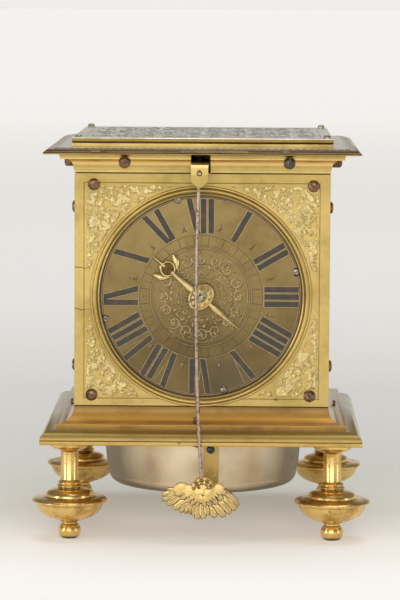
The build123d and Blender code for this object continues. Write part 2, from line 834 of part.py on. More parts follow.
def cornice():
    """The overhanging top moulding, slotted in front for the verge's cock."""
    crown = lip_half - lip_quirk
    profile = [
        line_in_section((inner_half, panel_top), (body_half, panel_top), (body_half, cornice_fillet_high)),
        arc_in_section((body_half, cornice_fillet_high), (cornice_cove_half, cornice_cove_high),
                       -quarter_bulge * cornice_cove_out),
        line_in_section((cornice_cove_half, cornice_cove_high), (cornice_step_half, cornice_cove_high),
                        (cornice_step_half, cornice_step_high)),
        arc_in_section((cornice_step_half, cornice_step_high), (crown, lip_low),
                       -0.4 * cornice_crown_height),
        line_in_section((crown, lip_low), (lip_half, lip_low), (lip_half, lip_high),
                        (lid_half, lid_band_low), (lid_half, lid_seat), (cornice_flange_half, lid_seat),
                        (cornice_flange_half, lid_band_low - band_wall),
                        (cornice_cove_half, lip_low - cornice_wall),
                        (inner_half, cornice_cove_high - cornice_step_height), (inner_half, panel_top)),
    ]
    bore = screw_bore(panel_screw_head, panel_screw_shank, cornice_screw_length, lip_half - body_half)
    cuts = [place * bore for place in cornice_screw_places()]
    cuts.append(block(cock_left - cock_slot_left_gap, cock_right + cock_slot_right_gap,
                      -lip_half - past, -inner_half + cock_slot_depth, panel_top - past, lip_low))
    cuts += [
        rod_z(x, y, small_screw_shank + fit, lid_seat - lid_screw_grip - fit, lid_seat + past)
        for x, y in lid_screw_places()
    ]
    return [strip - cuts for strip in mitred(profile)]


def cornice_screws():
    fixing = screw(panel_screw_head, panel_screw_shank, cornice_screw_length)
    return [place * fixing for place in cornice_screw_places()]


def lid():
    plate = block(-lid_half, lid_half, -lid_half, lid_half, lid_seat, lid_top)
    plate = chamfer(plate.edges().group_by(Axis.Z)[-1], lid_chamfer)
    return plate - [
        rod_z(x, y, small_screw_shank + fit, lid_seat - past, lid_top + past) for x, y in lid_screw_places()
    ]


def lid_screws():
    fixing = screw(small_screw_head, small_screw_shank, lid_thickness + lid_screw_grip)
    return [Pos(x, y, lid_top) * fixing for x, y in lid_screw_places()]


# ---------------------------------------------------------------- dial and hand
def bezel():
    """A raised ring round the dial, highest near its inner edge."""
    front = body_half + bezel_height
    edge = body_half + bezel_edge
    section = [
        line_in_section((bezel_inner, front - bezel_fall), (bezel_inner, body_half),
                        (bezel_outer, body_half), (bezel_outer, edge)),
        ThreePointArc((bezel_outer, 0, edge), (bezel_inner + bezel_crest * bezel_width, 0, front),
                      (bezel_inner, 0, front - bezel_fall)),
    ]
    return at(dial_point) * Rot(90, 0, 0) * revolve(make_face(section), axis=Axis.Z)


def dial_screw_points():
    return [step_from(dial_point, dial_screw_circle, 90 - first_dial_screw - 90 * turn) for turn in range(4)]


def dial_screw_holes():
    return [
        rod_y(point, small_screw_shank + fit, dial_front - past, dial_seat_back + past)
        for point in dial_screw_points()
    ]


def dial_seat():
    """The ring behind the panel that the dial lies on, between the corner posts."""
    ring = rod_y(dial_point, dial_seat_outer, -inner_half, dial_seat_back)
    ring = ring - rod_y(dial_point, dial_seat_inner, -inner_half - past, dial_seat_back + past)
    between = inner_half - post_width - fit
    ring = ring & block(-between, between, -inner_half, dial_seat_back, panel_bottom, panel_top)
    return ring - dial_screw_holes()


def dial():
    disc = rod_y(dial_point, dial_radius, dial_front, -inner_half)
    return disc - dial_screw_holes() - [rod_y(dial_point, dial_hole, dial_front - past, -inner_half + past)]


def dial_screws():
    fixing = screw(small_screw_head, small_screw_shank, dial_thickness + dial_screw_grip,
                   dial_screw_head_height)
    return [Pos(x, dial_front, z) * FACING["front"] * fixing for x, z in dial_screw_points()]


def hour_hand():
    """A single hand: pierced ring head, arrow tip, leaf tail and an oval boss."""
    ring_low = hand_ring_centre - hand_ring_radius
    ring_high = hand_ring_centre + hand_ring_radius
    ring = rod_y((0, hand_ring_centre), hand_ring_radius, hand_front, hand_back)
    ring = ring - rod_y((0, hand_ring_centre), hand_ring_radius - hand_ring_wall,
                        hand_front - past, hand_back + past)
    tip = prism_y([(-hand_tip_half, ring_high - hand_lap), (hand_tip_half, ring_high - hand_lap),
                   (0, hand_reach)], hand_front, hand_back)
    neck = prism_y([(-hand_neck_half, 0), (hand_neck_half, 0), (hand_neck_end_half, ring_low + hand_lap),
                    (-hand_neck_end_half, ring_low + hand_lap)], hand_front, hand_back)
    waist, leaf = -0.5 * hand_tail, -0.72 * hand_tail
    tail = prism_y([(hand_tail_half, 0), (-hand_tail_half, 0), (-hand_tail_waist_half, waist),
                    (-hand_leaf_half, leaf), (0, -hand_tail), (hand_leaf_half, leaf),
                    (hand_tail_waist_half, waist)], hand_front, hand_back)
    boss = extrude(Plane(origin=(0, hand_back, 0), x_dir=(1, 0, 0), z_dir=(0, -1, 0))
                   * Ellipse(hand_boss_long, hand_boss_short), amount=hand_back - boss_front)
    shape = ring + tip + neck + tail + boss
    return at(dial_point, hand_angle) * (shape - rod_y((0, 0), hour_arbor_radius, boss_front - past,
                                                       hand_back + past))


def hour_arbor():
    """The steel arbor that carries the hand, through the hour wheel to its pivot in the front plate."""
    shaft = rod_y(dial_point, hour_arbor_radius, boss_front - hour_arbor_end, front_plate_front - running)
    pivot = rod_y(dial_point, pivot_radius, front_plate_front - running, front_plate_back)
    collar_back = hour_wheel_front - running
    collar = rod_y(dial_point, hour_collar_radius, collar_back - hour_collar_length, collar_back)
    hole = at(dial_point, hand_angle) * rod_x(hand_pin_y, 0, hand_pin_radius + running,
                                              -hour_collar_radius, hour_collar_radius)
    return (shaft + pivot + collar) - hole


def hand_pin():
    """The taper pin through the arbor that keeps the hand on."""
    half = hand_pin_length / 2
    return at(dial_point, hand_angle) * rod_x(hand_pin_y, 0, hand_pin_radius, -half, half)


def hour_wheel():
    wheel = toothed(dial_point, hour_wheel_front, hour_wheel_front + wheel_thickness, hour_teeth,
                    hour_module, bearing(dial_point, second_point), addendum=motion_addendum)
    wheel = wheel - crossings(dial_point, hour_wheel_front, rim_inside(hour_module, hour_teeth))
    hub = rod_y(dial_point, hour_hub_radius, hour_wheel_front, front_plate_front - 2 * running)
    return (wheel + hub) - rod_y(dial_point, hour_arbor_radius + running, hour_wheel_front - past,
                                 front_plate_front)


# ---------------------------------------------------------------- bell and stay
def bell():
    """A shallow bell hung mouth up from its post."""
    inner_edge = bell_edge_radius - bell_wall
    low = bell_radius - bell_flare
    flat = low - bell_edge_radius
    dish = bell_bottom + bell_dish
    side = dish + bell_edge_radius
    seat = bell_post_radius + bell_seat_margin
    bore = bell_stud_radius + fit
    mouth = bell_radius - bell_wall - bell_lip
    section = [
        line_in_section((bore, bell_bottom + bell_wall), (bore, bell_bottom), (seat, bell_bottom),
                        (flat, dish)),
        arc_in_section((flat, dish), (low, side), quarter_bulge * bell_edge_radius),
        arc_in_section((low, side), (bell_radius, bell_rim), bell_swell),
        line_in_section((bell_radius, bell_rim), (mouth, bell_rim),
                        (mouth + 0.4 * bell_lip, bell_rim - bell_lip_height), (low - bell_wall, side)),
        arc_in_section((low - bell_wall, side), (flat, dish + bell_wall), -quarter_bulge * inner_edge),
        line_in_section((flat, dish + bell_wall), (seat, bell_bottom + bell_wall),
                        (bore, bell_bottom + bell_wall)),
    ]
    return revolve(make_face(section), axis=Axis.Z)


def bell_post():
    """The post under the base plate, stepped down to a stud for the bell and its nut."""
    seat = bell_bottom + bell_wall
    return rod_z(0, 0, bell_post_radius, seat, base_plate_bottom) + rod_z(
        0, 0, bell_stud_radius, bell_bottom - bell_stud_length, seat
    )


def bell_nut():
    nut = Pos(0, 0, bell_bottom - bell_nut_height) * extrude(RegularPolygon(bell_nut_radius, 6),
                                                             amount=bell_nut_height)
    return nut - rod_z(0, 0, bell_stud_radius + fit, bell_bottom - bell_stud_length, bell_bottom + past)


def stay():
    """A flat strip hung from its lug in front of the bell."""
    strip = block(stay_left, stay_left + stay_width, stay_front, stay_back, stay_low, base_plate_bottom)
    hole_point = (stay_left + stay_hole_across, stay_low + stay_hole_rise)
    return strip - [
        rod_y(stay_screw_point, small_screw_shank + fit, stay_front - past, stay_back + past),
        rod_y(hole_point, stay_hole_radius, stay_front - past, stay_back + past),
    ]


def stay_lug():
    lug = block(stay_left, stay_left + stay_width, stay_back, stay_back + stay_lug_depth,
                base_plate_bottom - stay_lug_height, base_plate_bottom)
    depth = stay_screw_grip + fit
    return lug - rod_y(stay_screw_point, small_screw_shank + fit, stay_back - past, stay_back + depth)


def stay_screw():
    x, z = stay_screw_point
    return Pos(x, stay_front, z) * FACING["front"] * screw(
        stay_screw_head, small_screw_shank, stay_thickness + stay_screw_grip, stay_screw_head_height
    )


# ---------------------------------------------------------------- pendulum
def front_cock():
    """The bracket that comes out over the panel through the cornice and holds the verge's front end."""
    arm = block(cock_left, cock_right, tab_front, front_plate_front, cock_arm_top - cock_arm_thickness,
                cock_arm_top)
    flange = block(cock_left, cock_right, front_plate_front - cock_flange_thickness, front_plate_front,
                   plate_top - cock_flange_height, cock_arm_top)
    point = verge_z - cock_drop
    shoulder = point + cock_shoulder
    tab = prism_y([(cock_left, cock_arm_top), (cock_left, shoulder), (cock_x, point),
                   (cock_right, shoulder), (cock_right, cock_arm_top)], tab_front, tab_back)
    tab = fillet(tab.edges().filter_by(Axis.Y).group_by(Axis.Z)[0], cock_point_radius)
    room = rod_y(verge_point, verge_radius + cock_verge_room,
                 front_plate_front - cock_flange_thickness - past, front_plate_back)
    pivot = rod_y(verge_point, pivot_radius + running, tab_front - past, tab_back + past)
    return (arm + flange + tab) - [room, pivot]


def rear_cock():
    back = rear_plate_back + rear_cock_thickness
    cock = block(verge_x - rear_cock_half, verge_x + rear_cock_half, rear_plate_back, back,
                 plate_top - rear_cock_drop, verge_z + rear_cock_rise)
    return cock - rod_y(verge_point, pivot_radius + running, rear_plate_back - past, back + past)


def verge():
    """The staff of the pendulum, with two pallets at an angle over the crown wheel."""
    staff = rod_y(verge_point, verge_radius, tab_back + running, rear_plate_back - running)
    staff = staff + rod_y(verge_point, pivot_radius, tab_front, rear_plate_back + rear_cock_thickness)
    mean = crown_radius - crown_wall / 2
    for sign in (-1, 1):
        middle = crown_y + sign * mean
        flag = block(-pallet_thickness / 2, pallet_thickness / 2, middle - pallet_width / 2,
                     middle + pallet_width / 2, -pallet_reach, 0)
        staff = staff + at(verge_point, sign * pallet_spread / 2) * flag
    return staff


def pendulum_rod():
    """A wire, slightly bowed, set in a collet on the verge."""
    top = Vector(verge_x, pendulum_y, verge_z - collet_radius + rod_sink)
    low = Vector(rod_foot_x, pendulum_y, rod_low)
    middle = (top + low) / 2 - Vector(rod_bow, 0, 0)
    path = ThreePointArc(top, middle, low)
    wire = sweep(Plane(origin=top, z_dir=path % 0) * Circle(rod_radius), path=path)
    collet = rod_y(verge_point, collet_radius, collet_front + collet_setback,
                   collet_front + collet_length)
    return (wire + collet) - rod_y(verge_point, verge_radius, collet_front - past,
                                   collet_front + collet_length + past)


def wing(bearing, turn, length, fall):
    """A fan of round-ended feathers, each shorter than the one above it."""
    feathers = []
    for feather in range(wing_feathers):
        reach = length - fall * feather
        quill = SlotOverall(reach, 2 * feather_half_width)
        feathers.append(Rot(0, 0, bearing + turn * feather) * Pos(reach / 2, 0) * quill)
    return feathers


def bob():
    """A flat gilt bob: a round head between two wings of overlapping feathers."""
    back = pendulum_y + (1 - bob_front_share) * bob_thickness
    flat = wing(left_wing_bearing, left_wing_turn, left_wing_length, left_wing_fall)
    flat += wing(right_wing_bearing, right_wing_turn, right_wing_length, right_wing_fall)
    flat += [
        Pos(0, -bob_tail_drop) * Circle(bob_tail_radius),
        Pos(0, -bob_neck_drop) * Rectangle(bob_neck_width, bob_neck_height),
        Pos(-left_shoulder_out, left_shoulder_rise) * Circle(left_shoulder_radius),
        Pos(right_shoulder_out, right_shoulder_rise) * Circle(right_shoulder_radius),
    ]
    place = Plane(origin=(bob_x, back, bob_z), x_dir=(1, 0, 0), z_dir=(0, -1, 0))
    plate = extrude(place * (Sketch() + flat), amount=bob_plate_share * bob_thickness)
    head = extrude(place * Pos(bob_x, bob_head_rise) * Circle(bob_head_radius), amount=bob_thickness)
    half = rod_radius + fit
    channel = block(rod_foot_x - half - rod_lean_room, rod_foot_x + half, pendulum_y - half, back + past,
                    rod_low - fit, bob_z + 2 * bob_head_radius)
    return (plate + head) - channel


# ---------------------------------------------------------------- movement frame
def pivot_holes(front):
    """Bearing holes in a movement plate, with their radii."""
    train = (second_point, third_point, contrate_point, pin_point, hoop_point, warning_point, fly_point)
    holes = [(point, pivot_radius) for point in train + (hammer_point,)]
    holes += [(point, barrel_arbor_radius) for point in (going_point, strike_point)]
    if front:
        return holes + [(dial_point, pivot_radius)]
    return holes + [(click_point(point), pivot_radius) for point in (going_point, strike_point)]


def movement_plate(front):
    y0, y1 = (front_plate_front, front_plate_back) if front else (rear_plate_front, rear_plate_back)
    sheet = block(-plate_half_width, plate_half_width, y0, y1, base_plate_top, plate_top)
    bores = [rod_y(point, radius + running, y0 - past, y1 + past) for point, radius in pivot_holes(front)]
    return sheet - bores


def rear_movement_plate():
    return movement_plate(False) + count_stud()


def pillars():
    """Two pillars at the plates' upper corners and two low down between the great wheels, clear of the hammer's arm."""
    corner, low = plate_half_width - pillar_inset, base_plate_top + pillar_inset
    points = [(side * corner, plate_top - pillar_inset) for side in (-1, 1)]
    points += [(great_middle + side * pillar_spread, low) for side in (-1, 1)]
    return [rod_y(point, pillar_radius, front_plate_back, rear_plate_front) for point in points]


def crown_bore(low, high):
    return rod_z(verge_x, crown_y, fine_pivot_radius + running, low, high)


def crown_bridge():
    """The upper potence: it reaches over the crown wheel, under the verge, to hold its top pivot."""
    side = bridge_side + bridge_width
    depth = crown_y + bridge_nose_depth
    arm = block(bridge_side, side, front_plate_back, depth, bridge_low, bridge_top)
    nose = block(verge_x - bridge_nose_half, bridge_side + past, crown_y - bridge_nose_depth, depth,
                 bridge_low, bridge_top)
    flange = block(bridge_side, side, front_plate_back, front_plate_back + bridge_flange_thickness,
                   bridge_low - bridge_flange_height, bridge_low)
    return (arm + nose + flange) - crown_bore(bridge_low - past, bridge_top + past)


def crown_potence():
    """The lower potence: a foot bearing for the crown arbor, inside the contrate wheel's rim."""
    arm = block(verge_x - bridge_nose_half, verge_x + bridge_nose_half, front_plate_back,
                crown_y + potence_reach, potence_top - potence_thickness, potence_top)
    return arm - crown_bore(potence_top - potence_reach, potence_top + past)


# ---------------------------------------------------------------- going train
def contrate_gap():
    """The gap between two contrate teeth, lying along +X from the wheel's centre."""
    pitch = 2 * pi * contrate_radius / contrate_teeth
    root, tip = 0.18 * pitch, 0.37 * pitch
    lead = arbor_radius + fit
    outline = make_face(Polyline(
        (lead, contrate_root_y, -root), (lead, contrate_root_y, root),
        (lead, contrate_tip_y - running, tip), (lead, contrate_tip_y - running, -tip), close=True,
    ))
    return extrude(outline, amount=contrate_outer, dir=(1, 0, 0))


def contrate_wheel():
    """A wheel whose teeth stand forward from its rim."""
    back = contrate_root_y + contrate_thickness
    rim = rod_y(contrate_point, contrate_outer, contrate_tip_y, back)
    rim = rim - rod_y(contrate_point, contrate_inner, contrate_tip_y - past, contrate_root_y)
    gap = contrate_gap()
    cuts = [
        at(contrate_point, (tooth + 0.5) * 360 / contrate_teeth - 90) * gap
        for tooth in range(contrate_teeth)
    ]
    rim = rim - cuts
    rim = rim - crossings(contrate_point, contrate_root_y, rim_inside(train_module, contrate_teeth))
    return rim - rod_y(contrate_point, arbor_radius, contrate_tip_y - past, back + past)


def crown_wheel():
    """The escape wheel: fifteen raked teeth standing up from a cup."""
    cup = rod_z(verge_x, crown_y, crown_radius, crown_low, crown_tip_z)
    cup = cup - rod_z(verge_x, crown_y, crown_radius - crown_wall, crown_low + wheel_thickness,
                      crown_tip_z + past)
    step = 2 * pi * crown_radius / crown_teeth
    notch = make_face(Polyline(
        (0, -0.12 * step, crown_tip_z + running), (0, 0.80 * step, crown_tip_z + running),
        (0, 0.12 * step, crown_tip_z - crown_tooth_depth), close=True,
    ))
    gap = extrude(notch, amount=crown_radius + past, dir=(1, 0, 0))
    cuts = [
        Pos(verge_x, crown_y, 0) * Rot(0, 0, tooth * 360 / crown_teeth) * gap for tooth in range(crown_teeth)
    ]
    return (cup - cuts) - rod_z(verge_x, crown_y, arbor_radius, crown_low - past,
                                crown_low + wheel_thickness + past)


def crown_arbor():
    """An upright arbor: the crown wheel near its top, a pinion in the contrate teeth below."""
    shaft = rod_z(verge_x, crown_y, arbor_radius, potence_top + running, bridge_low - running)
    pivots = rod_z(verge_x, crown_y, fine_pivot_radius, potence_top - potence_reach + running,
                   bridge_top - running)
    leaf_low = contrate_point[1] + contrate_inner - crown_pinion_gap
    leaves = pinion((0, 0), 0, crown_pinion_width, crown_leaf_teeth, train_module, (0, 1))
    leaves = Pos(verge_x, crown_y, leaf_low + crown_pinion_width) * Rot(-90, 0, 0) * leaves
    return shaft + pivots + leaves


def train_wheel(point, front, teeth, next_point, rim=wheel_rim):
    """A crossed-out train wheel, bored for its arbor."""
    wheel = toothed(point, front, front + wheel_thickness, teeth, train_module, bearing(point, next_point))
    wheel = wheel - crossings(point, front, rim_inside(train_module, teeth, rim))
    return wheel - rod_y(point, arbor_radius, front - past, front + wheel_thickness + past)


def train_arbor(point, pinion_front, leaves, wheel_point):
    return arbor(point) + pinion(point, pinion_front, pinion_front + pinion_width, leaves, train_module,
                                 wheel_point)


def great_pinion(point, barrel_point):
    front = great_wheel_front - great_pinion_lead
    return pinion(point, front, front + pinion_width, great_leaf_teeth, barrel_module, barrel_point)


def second_arbor():
    """The one-hour arbor: its front end drives the hour wheel, its pinion meets the great wheel."""
    motion = pinion(second_point, second_front, second_front + hour_pinion_width, hour_leaf_teeth,
                    hour_module, dial_point)
    return arbor(second_point, front=second_front) + great_pinion(second_point, going_point) + motion


# ---------------------------------------------------------------- barrels and winding
def barrel(point, next_point):
    """Great wheel and spring drum as one, with a pressed-in cap."""
    wheel = toothed(point, great_wheel_front, drum_front, great_teeth, barrel_module,
                    bearing(point, next_point))
    drum = rod_y(point, drum_radius, drum_front, drum_back)
    drum = drum - rod_y(point, drum_radius - drum_wall, drum_front, drum_back + past)
    cap = rod_y(point, drum_radius - drum_wall, drum_back - drum_cap, drum_back)
    bore = rod_y(point, barrel_arbor_radius + running, great_wheel_front - past, drum_back + past)
    return [(wheel + drum) - bore, cap - bore]


def mainspring(point):
    """A ribbon wound from the drum wall in towards the core, in short flats."""
    start = drum_radius - drum_wall - spring_outer_gap
    end = barrel_core_radius + spring_inner_gap
    flats = spring_flat_count * spring_turn_count
    outer, inner = [], []
    for flat in range(flats + 1):
        radius = start + (end - start) * flat / flats
        angle = 360 * flat / spring_flat_count
        outer.append(step_from(point, radius, angle))
        inner.append(step_from(point, radius - spring_thickness, angle))
    return prism_y(outer + inner[::-1], drum_front + spring_gap, drum_back - drum_cap - spring_gap)


def ratchet(point):
    """A wheel of raked teeth that the click lets turn clockwise, seen from the front, and no other way."""
    step = 360 / ratchet_teeth
    points = []
    for tooth in range(ratchet_teeth):
        points.append(step_from(point, ratchet_radius, tooth * step))
        points.append(step_from(point, ratchet_radius - ratchet_depth, (tooth + 0.08) * step))
    return prism_y(points, ratchet_front, ratchet_back)


def winder(point):
    """Barrel arbor with its core, ratchet wheel and winding square."""
    core = rod_y(point, barrel_core_radius, drum_front + running, drum_back - drum_cap - running)
    shaft = rod_y(point, barrel_arbor_radius, front_plate_front, ratchet_back)
    half = winding_square / 2
    square = block(point[0] - half, point[0] + half, ratchet_back, inner_half - winding_end_gap,
                   point[1] - half, point[1] + half)
    return core + shaft + ratchet(point) + square


def click_tip_point(point):
    return step_from(point, ratchet_radius + click_clear, click_bearing)


def click_point(point):
    """The click's pivot, square to the ratchet's radius at the click's tip."""
    return step_from(click_tip_point(point), click_length, click_bearing + 90)


def click(point):
    """A pawl on the rear plate, its tip just clear of the ratchet's tooth tips."""
    pivot = click_point(point)
    arm = prism_y([(0, -click_radius), (click_length, 0), (click_length - click_tip, click_tip),
                   (0, click_radius)], ratchet_front, ratchet_front + click_thickness)
    boss = rod_y((0, 0), click_radius + click_boss, ratchet_front, ratchet_front + click_thickness)
    stud = rod_y((0, 0), pivot_radius, rear_plate_back - click_stud_depth, ratchet_front)
    return at(pivot, 90 - click_bearing) * (arm + boss + stud)


# ---------------------------------------------------------------- striking train
def pin_wheel():
    """The wheel whose pins lift the hammer tail; its rear end drives the countwheel."""
    wheel = train_wheel(pin_point, second_wheel_front, pin_teeth, hoop_point, rim=pin_wheel_rim)
    back = second_wheel_front + wheel_thickness
    step = 360 / lifting_pin_count
    pins = [
        rod_y(step_from(pin_point, lifting_pin_circle, (index + 0.5) * step), lifting_pin_radius, back,
              back + lifting_pin_length)
        for index in range(lifting_pin_count)
    ]
    count_end = count_front - count_pinion_lead + count_pinion_width
    shaft = arbor(pin_point, back=count_end) + great_pinion(pin_point, strike_point)
    leaves = pinion(pin_point, count_front - count_pinion_lead, count_end, count_leaf_teeth, count_module,
                    count_point)
    return [wheel + pins, shaft + leaves]


def countwheel():
    """Twelve notches, one at the end of each hour's blows, over a driving wheel."""
    wheel = toothed(count_point, count_front, count_front + wheel_thickness, count_teeth, count_module,
                    bearing(count_point, pin_point), addendum=motion_addendum)
    disc_front = count_front + wheel_thickness + count_disc_gap
    disc_back = disc_front + count_disc_thickness
    disc = rod_y(count_point, count_disc_radius, disc_front, disc_back)
    notch = block(count_disc_radius - count_notch_depth, count_disc_radius + past, disc_front - past,
                  disc_back + past, -count_notch_half, count_notch_half)
    every_blow = strike_hour_count * (strike_hour_count + 1) / 2
    cuts = [
        at(count_point, -360 * hour * (hour + 1) / 2 / every_blow) * notch
        for hour in range(1, strike_hour_count + 1)
    ]
    hub = rod_y(count_point, count_hub_radius, count_front, disc_back)
    bore = rod_y(count_point, count_stud_radius + running, count_front - past, disc_back + past)
    return (wheel + (disc - cuts) + hub) - bore


def count_stud():
    """The stud that the countwheel turns on, with its headed end."""
    end = count_front + wheel_thickness + count_disc_gap + count_disc_thickness + 2 * running
    stud = rod_y(count_point, count_stud_radius, rear_plate_back, end)
    return stud + rod_y(count_point, count_stud_head_radius, end, end + count_stud_head)


def wheel_on_arbor(point, wheel_front, teeth, next_point, pinion_front, leaves, last_point):
    """A wheel, its arbor and its pinion."""
    return [train_wheel(point, wheel_front, teeth, next_point),
            train_arbor(point, pinion_front, leaves, last_point)]


def hoop_wheel():
    return wheel_on_arbor(hoop_point, third_wheel_front, hoop_teeth, warning_point,
                          second_wheel_front - pinion_lead, hoop_leaf_teeth, pin_point)


def warning_wheel():
    return wheel_on_arbor(warning_point, warning_wheel_front, warning_teeth, fly_point,
                          third_wheel_front - pinion_lead, warning_leaf_teeth, hoop_point)


def fly():
    """The air brake: a flat vane across the fastest arbor, clear of its neighbour's pinion."""
    shaft = train_arbor(fly_point, third_wheel_front - fly_pinion_lead, fly_leaf_teeth, warning_point)
    leaf_radius = train_module * (warning_leaf_teeth / 2 + 1)
    reach = fly_distance - leaf_radius - fly_clear
    front = third_wheel_front - fly_vane_lead
    vane = block(-reach, reach, front, front + fly_length, -fly_half_thickness, fly_half_thickness)
    return shaft + at(fly_point) * vane


def hammer():
    """Hammer arbor, arm and head: the head waits just inside the bell's wall."""
    arm = rod_z(hammer_point[0], hammer_y, hammer_arm_radius, hammer_head_z, hammer_point[1])
    head = rod_x(hammer_y, hammer_head_z, hammer_head_radius, hammer_face, hammer_face + hammer_head_length)
    to_pins = lifting_pin_circle + lifting_pin_radius + hammer_tail_gap
    reach = hypot(pin_point[0] - hammer_point[0], pin_point[1] - hammer_point[1]) - to_pins
    half = hammer_tail_half
    tail = block(0, reach, hammer_y - half, hammer_y + half, -half, half)
    return arbor(hammer_point) + arm + head + at(hammer_point, -bearing(hammer_point, pin_point)) * tail


# ---------------------------------------------------------------- the nodes
def nodes():
    third_pinion_front = second_wheel_front - pinion_lead
    contrate_pinion_front = third_wheel_front - pinion_lead
    return {
        "base_moulding": base_moulding(),
        "base_plate": base_plate(),
        "feet": feet(),
        "front_panel": front_panel(),
        "rear_panel": rear_panel(),
        "left_panel": side_panel("left"),
        "right_panel": side_panel("right"),
        "corner_posts": corner_posts(),
        "panel_screws": panel_screws(),
        "cornice": cornice(),
        "cornice_screws": cornice_screws(),
        "base_screws": base_screws(),
        "lid": lid(),
        "lid_screws": lid_screws(),
        "bezel": bezel(),
        "dial_seat": dial_seat(),
        "dial": dial(),
        "dial_screws": dial_screws(),
        "hour_hand": hour_hand(),
        "hand_pin": hand_pin(),
        "hour_arbor": hour_arbor(),
        "hour_wheel": hour_wheel(),
        "bell": bell(),
        "bell_post": bell_post(),
        "bell_nut": bell_nut(),
        "stay": stay(),
        "stay_lug": stay_lug(),
        "stay_screw": stay_screw(),
        "front_cock": front_cock(),
        "rear_cock": rear_cock(),
        "verge": verge(),
        "pendulum_rod": pendulum_rod(),
        "bob": bob(),
        "movement_front_plate": movement_plate(True),
        "movement_rear_plate": rear_movement_plate(),
        "movement_pillars": pillars(),
        "crown_bridge": crown_bridge(),
        "crown_potence": crown_potence(),
        "crown_wheel": crown_wheel(),
        "crown_arbor": crown_arbor(),
        "contrate_wheel": contrate_wheel(),
        "contrate_arbor": train_arbor(contrate_point, contrate_pinion_front, contrate_leaf_teeth,
                                      third_point),
        "third_wheel": train_wheel(third_point, third_wheel_front, third_teeth, contrate_point),
        "third_arbor": train_arbor(third_point, third_pinion_front, third_leaf_teeth, second_point),
        "second_wheel": train_wheel(second_point, second_wheel_front, second_teeth, third_point),
        "second_arbor": second_arbor(),
        "going_barrel": barrel(going_point, second_point),
        "going_mainspring": mainspring(going_point),
        "going_winder": winder(going_point),
        "going_click": click(going_point),
        "strike_barrel": barrel(strike_point, pin_point),
        "strike_mainspring": mainspring(strike_point),
        "strike_winder": winder(strike_point),
        "strike_click": click(strike_point),
        "pin_wheel": pin_wheel(),
        "hoop_wheel": hoop_wheel(),
        "warning_wheel": warning_wheel(),
        "fly": fly(),
        "countwheel": countwheel(),
        "hammer": hammer(),
    }


def write(parts):
    os.makedirs("parts", exist_ok=True)
    for name, shapes in parts.items():
        shapes = shapes if isinstance(shapes, list) else [shapes]
        solids = [solid for shape in shapes for solid in shape.solids()]
        export_step(Compound(children=solids, label=name), f"parts/{name}.step")


write(nodes())
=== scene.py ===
# %% [markdown]
# # A small table clock with its pendulum in front of the dial
#
# The clock is a square gilt-brass case on four turned feet, with a bell hung under its base,
# one hour hand, and a thin wire pendulum that swings in front of the dial and ends in a winged head.
# The solid parts come packed as a fixed frame. This lesson dresses them: every part gets a metal
# finish made of nodes, and the ornament, screw heads, numerals, hand and bob are modelled as surfaces.

# %% Load the clock's solid parts
import json

import bpy
import bmesh
import numpy as np
from mathutils import Matrix


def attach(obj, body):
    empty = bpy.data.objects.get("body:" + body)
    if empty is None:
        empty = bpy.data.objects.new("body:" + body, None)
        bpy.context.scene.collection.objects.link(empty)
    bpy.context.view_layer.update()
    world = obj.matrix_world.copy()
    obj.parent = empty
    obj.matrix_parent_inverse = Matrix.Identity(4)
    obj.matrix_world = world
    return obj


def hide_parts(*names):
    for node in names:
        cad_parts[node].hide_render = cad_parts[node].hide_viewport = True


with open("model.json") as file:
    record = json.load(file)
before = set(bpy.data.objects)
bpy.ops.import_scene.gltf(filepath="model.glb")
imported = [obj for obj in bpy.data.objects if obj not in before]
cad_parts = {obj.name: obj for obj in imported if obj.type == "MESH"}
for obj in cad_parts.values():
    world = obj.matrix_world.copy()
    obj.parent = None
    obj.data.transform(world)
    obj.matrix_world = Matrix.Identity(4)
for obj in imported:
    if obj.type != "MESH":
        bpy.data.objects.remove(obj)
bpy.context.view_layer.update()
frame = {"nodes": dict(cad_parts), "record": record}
mm = 0.001
tiny = 1e-9  # keeps a division from meeting zero

# %% [markdown]
# ## Surfaces from numbers
#
# Every new piece is a sheet of points: a grid whose rows and columns are joined into four-sided faces.
# A maker would cast, turn or engrave these pieces; for the computer a grid is the common form of all three,
# because a turned ring, a leaf and a domed screw head differ only in the formula that places the points.

# %% Join a grid of points into faces
def grid_faces(rows, columns, wrap_rows=False, wrap_columns=False, copies=1):
    """A face joins point (r, c) with (r+1, c), (r+1, c+1) and (r, c+1); a wrapped side ends at its start."""
    r, c = np.meshgrid(
        np.arange(rows if wrap_rows else rows - 1),
        np.arange(columns if wrap_columns else columns - 1), indexing="ij",
    )
    down, along = (r + 1) % rows, (c + 1) % columns
    one = np.stack([r * columns + c, down * columns + c, down * columns + along, r * columns + along], -1)
    return (one.reshape(1, -1, 4) + rows * columns * np.arange(copies)[:, None, None]).reshape(-1, 4)


# %% Make a piece from points and faces
merge_within = 2e-6  # metres: points closer than this are one
sharp_above = np.radians(38)  # edges that turn more than this stay sharp


def place_object(name, data):
    """Puts a mesh, a lamp or a camera in the scene."""
    holder = bpy.data.objects.new(name, data)
    bpy.context.scene.collection.objects.link(holder)
    return holder


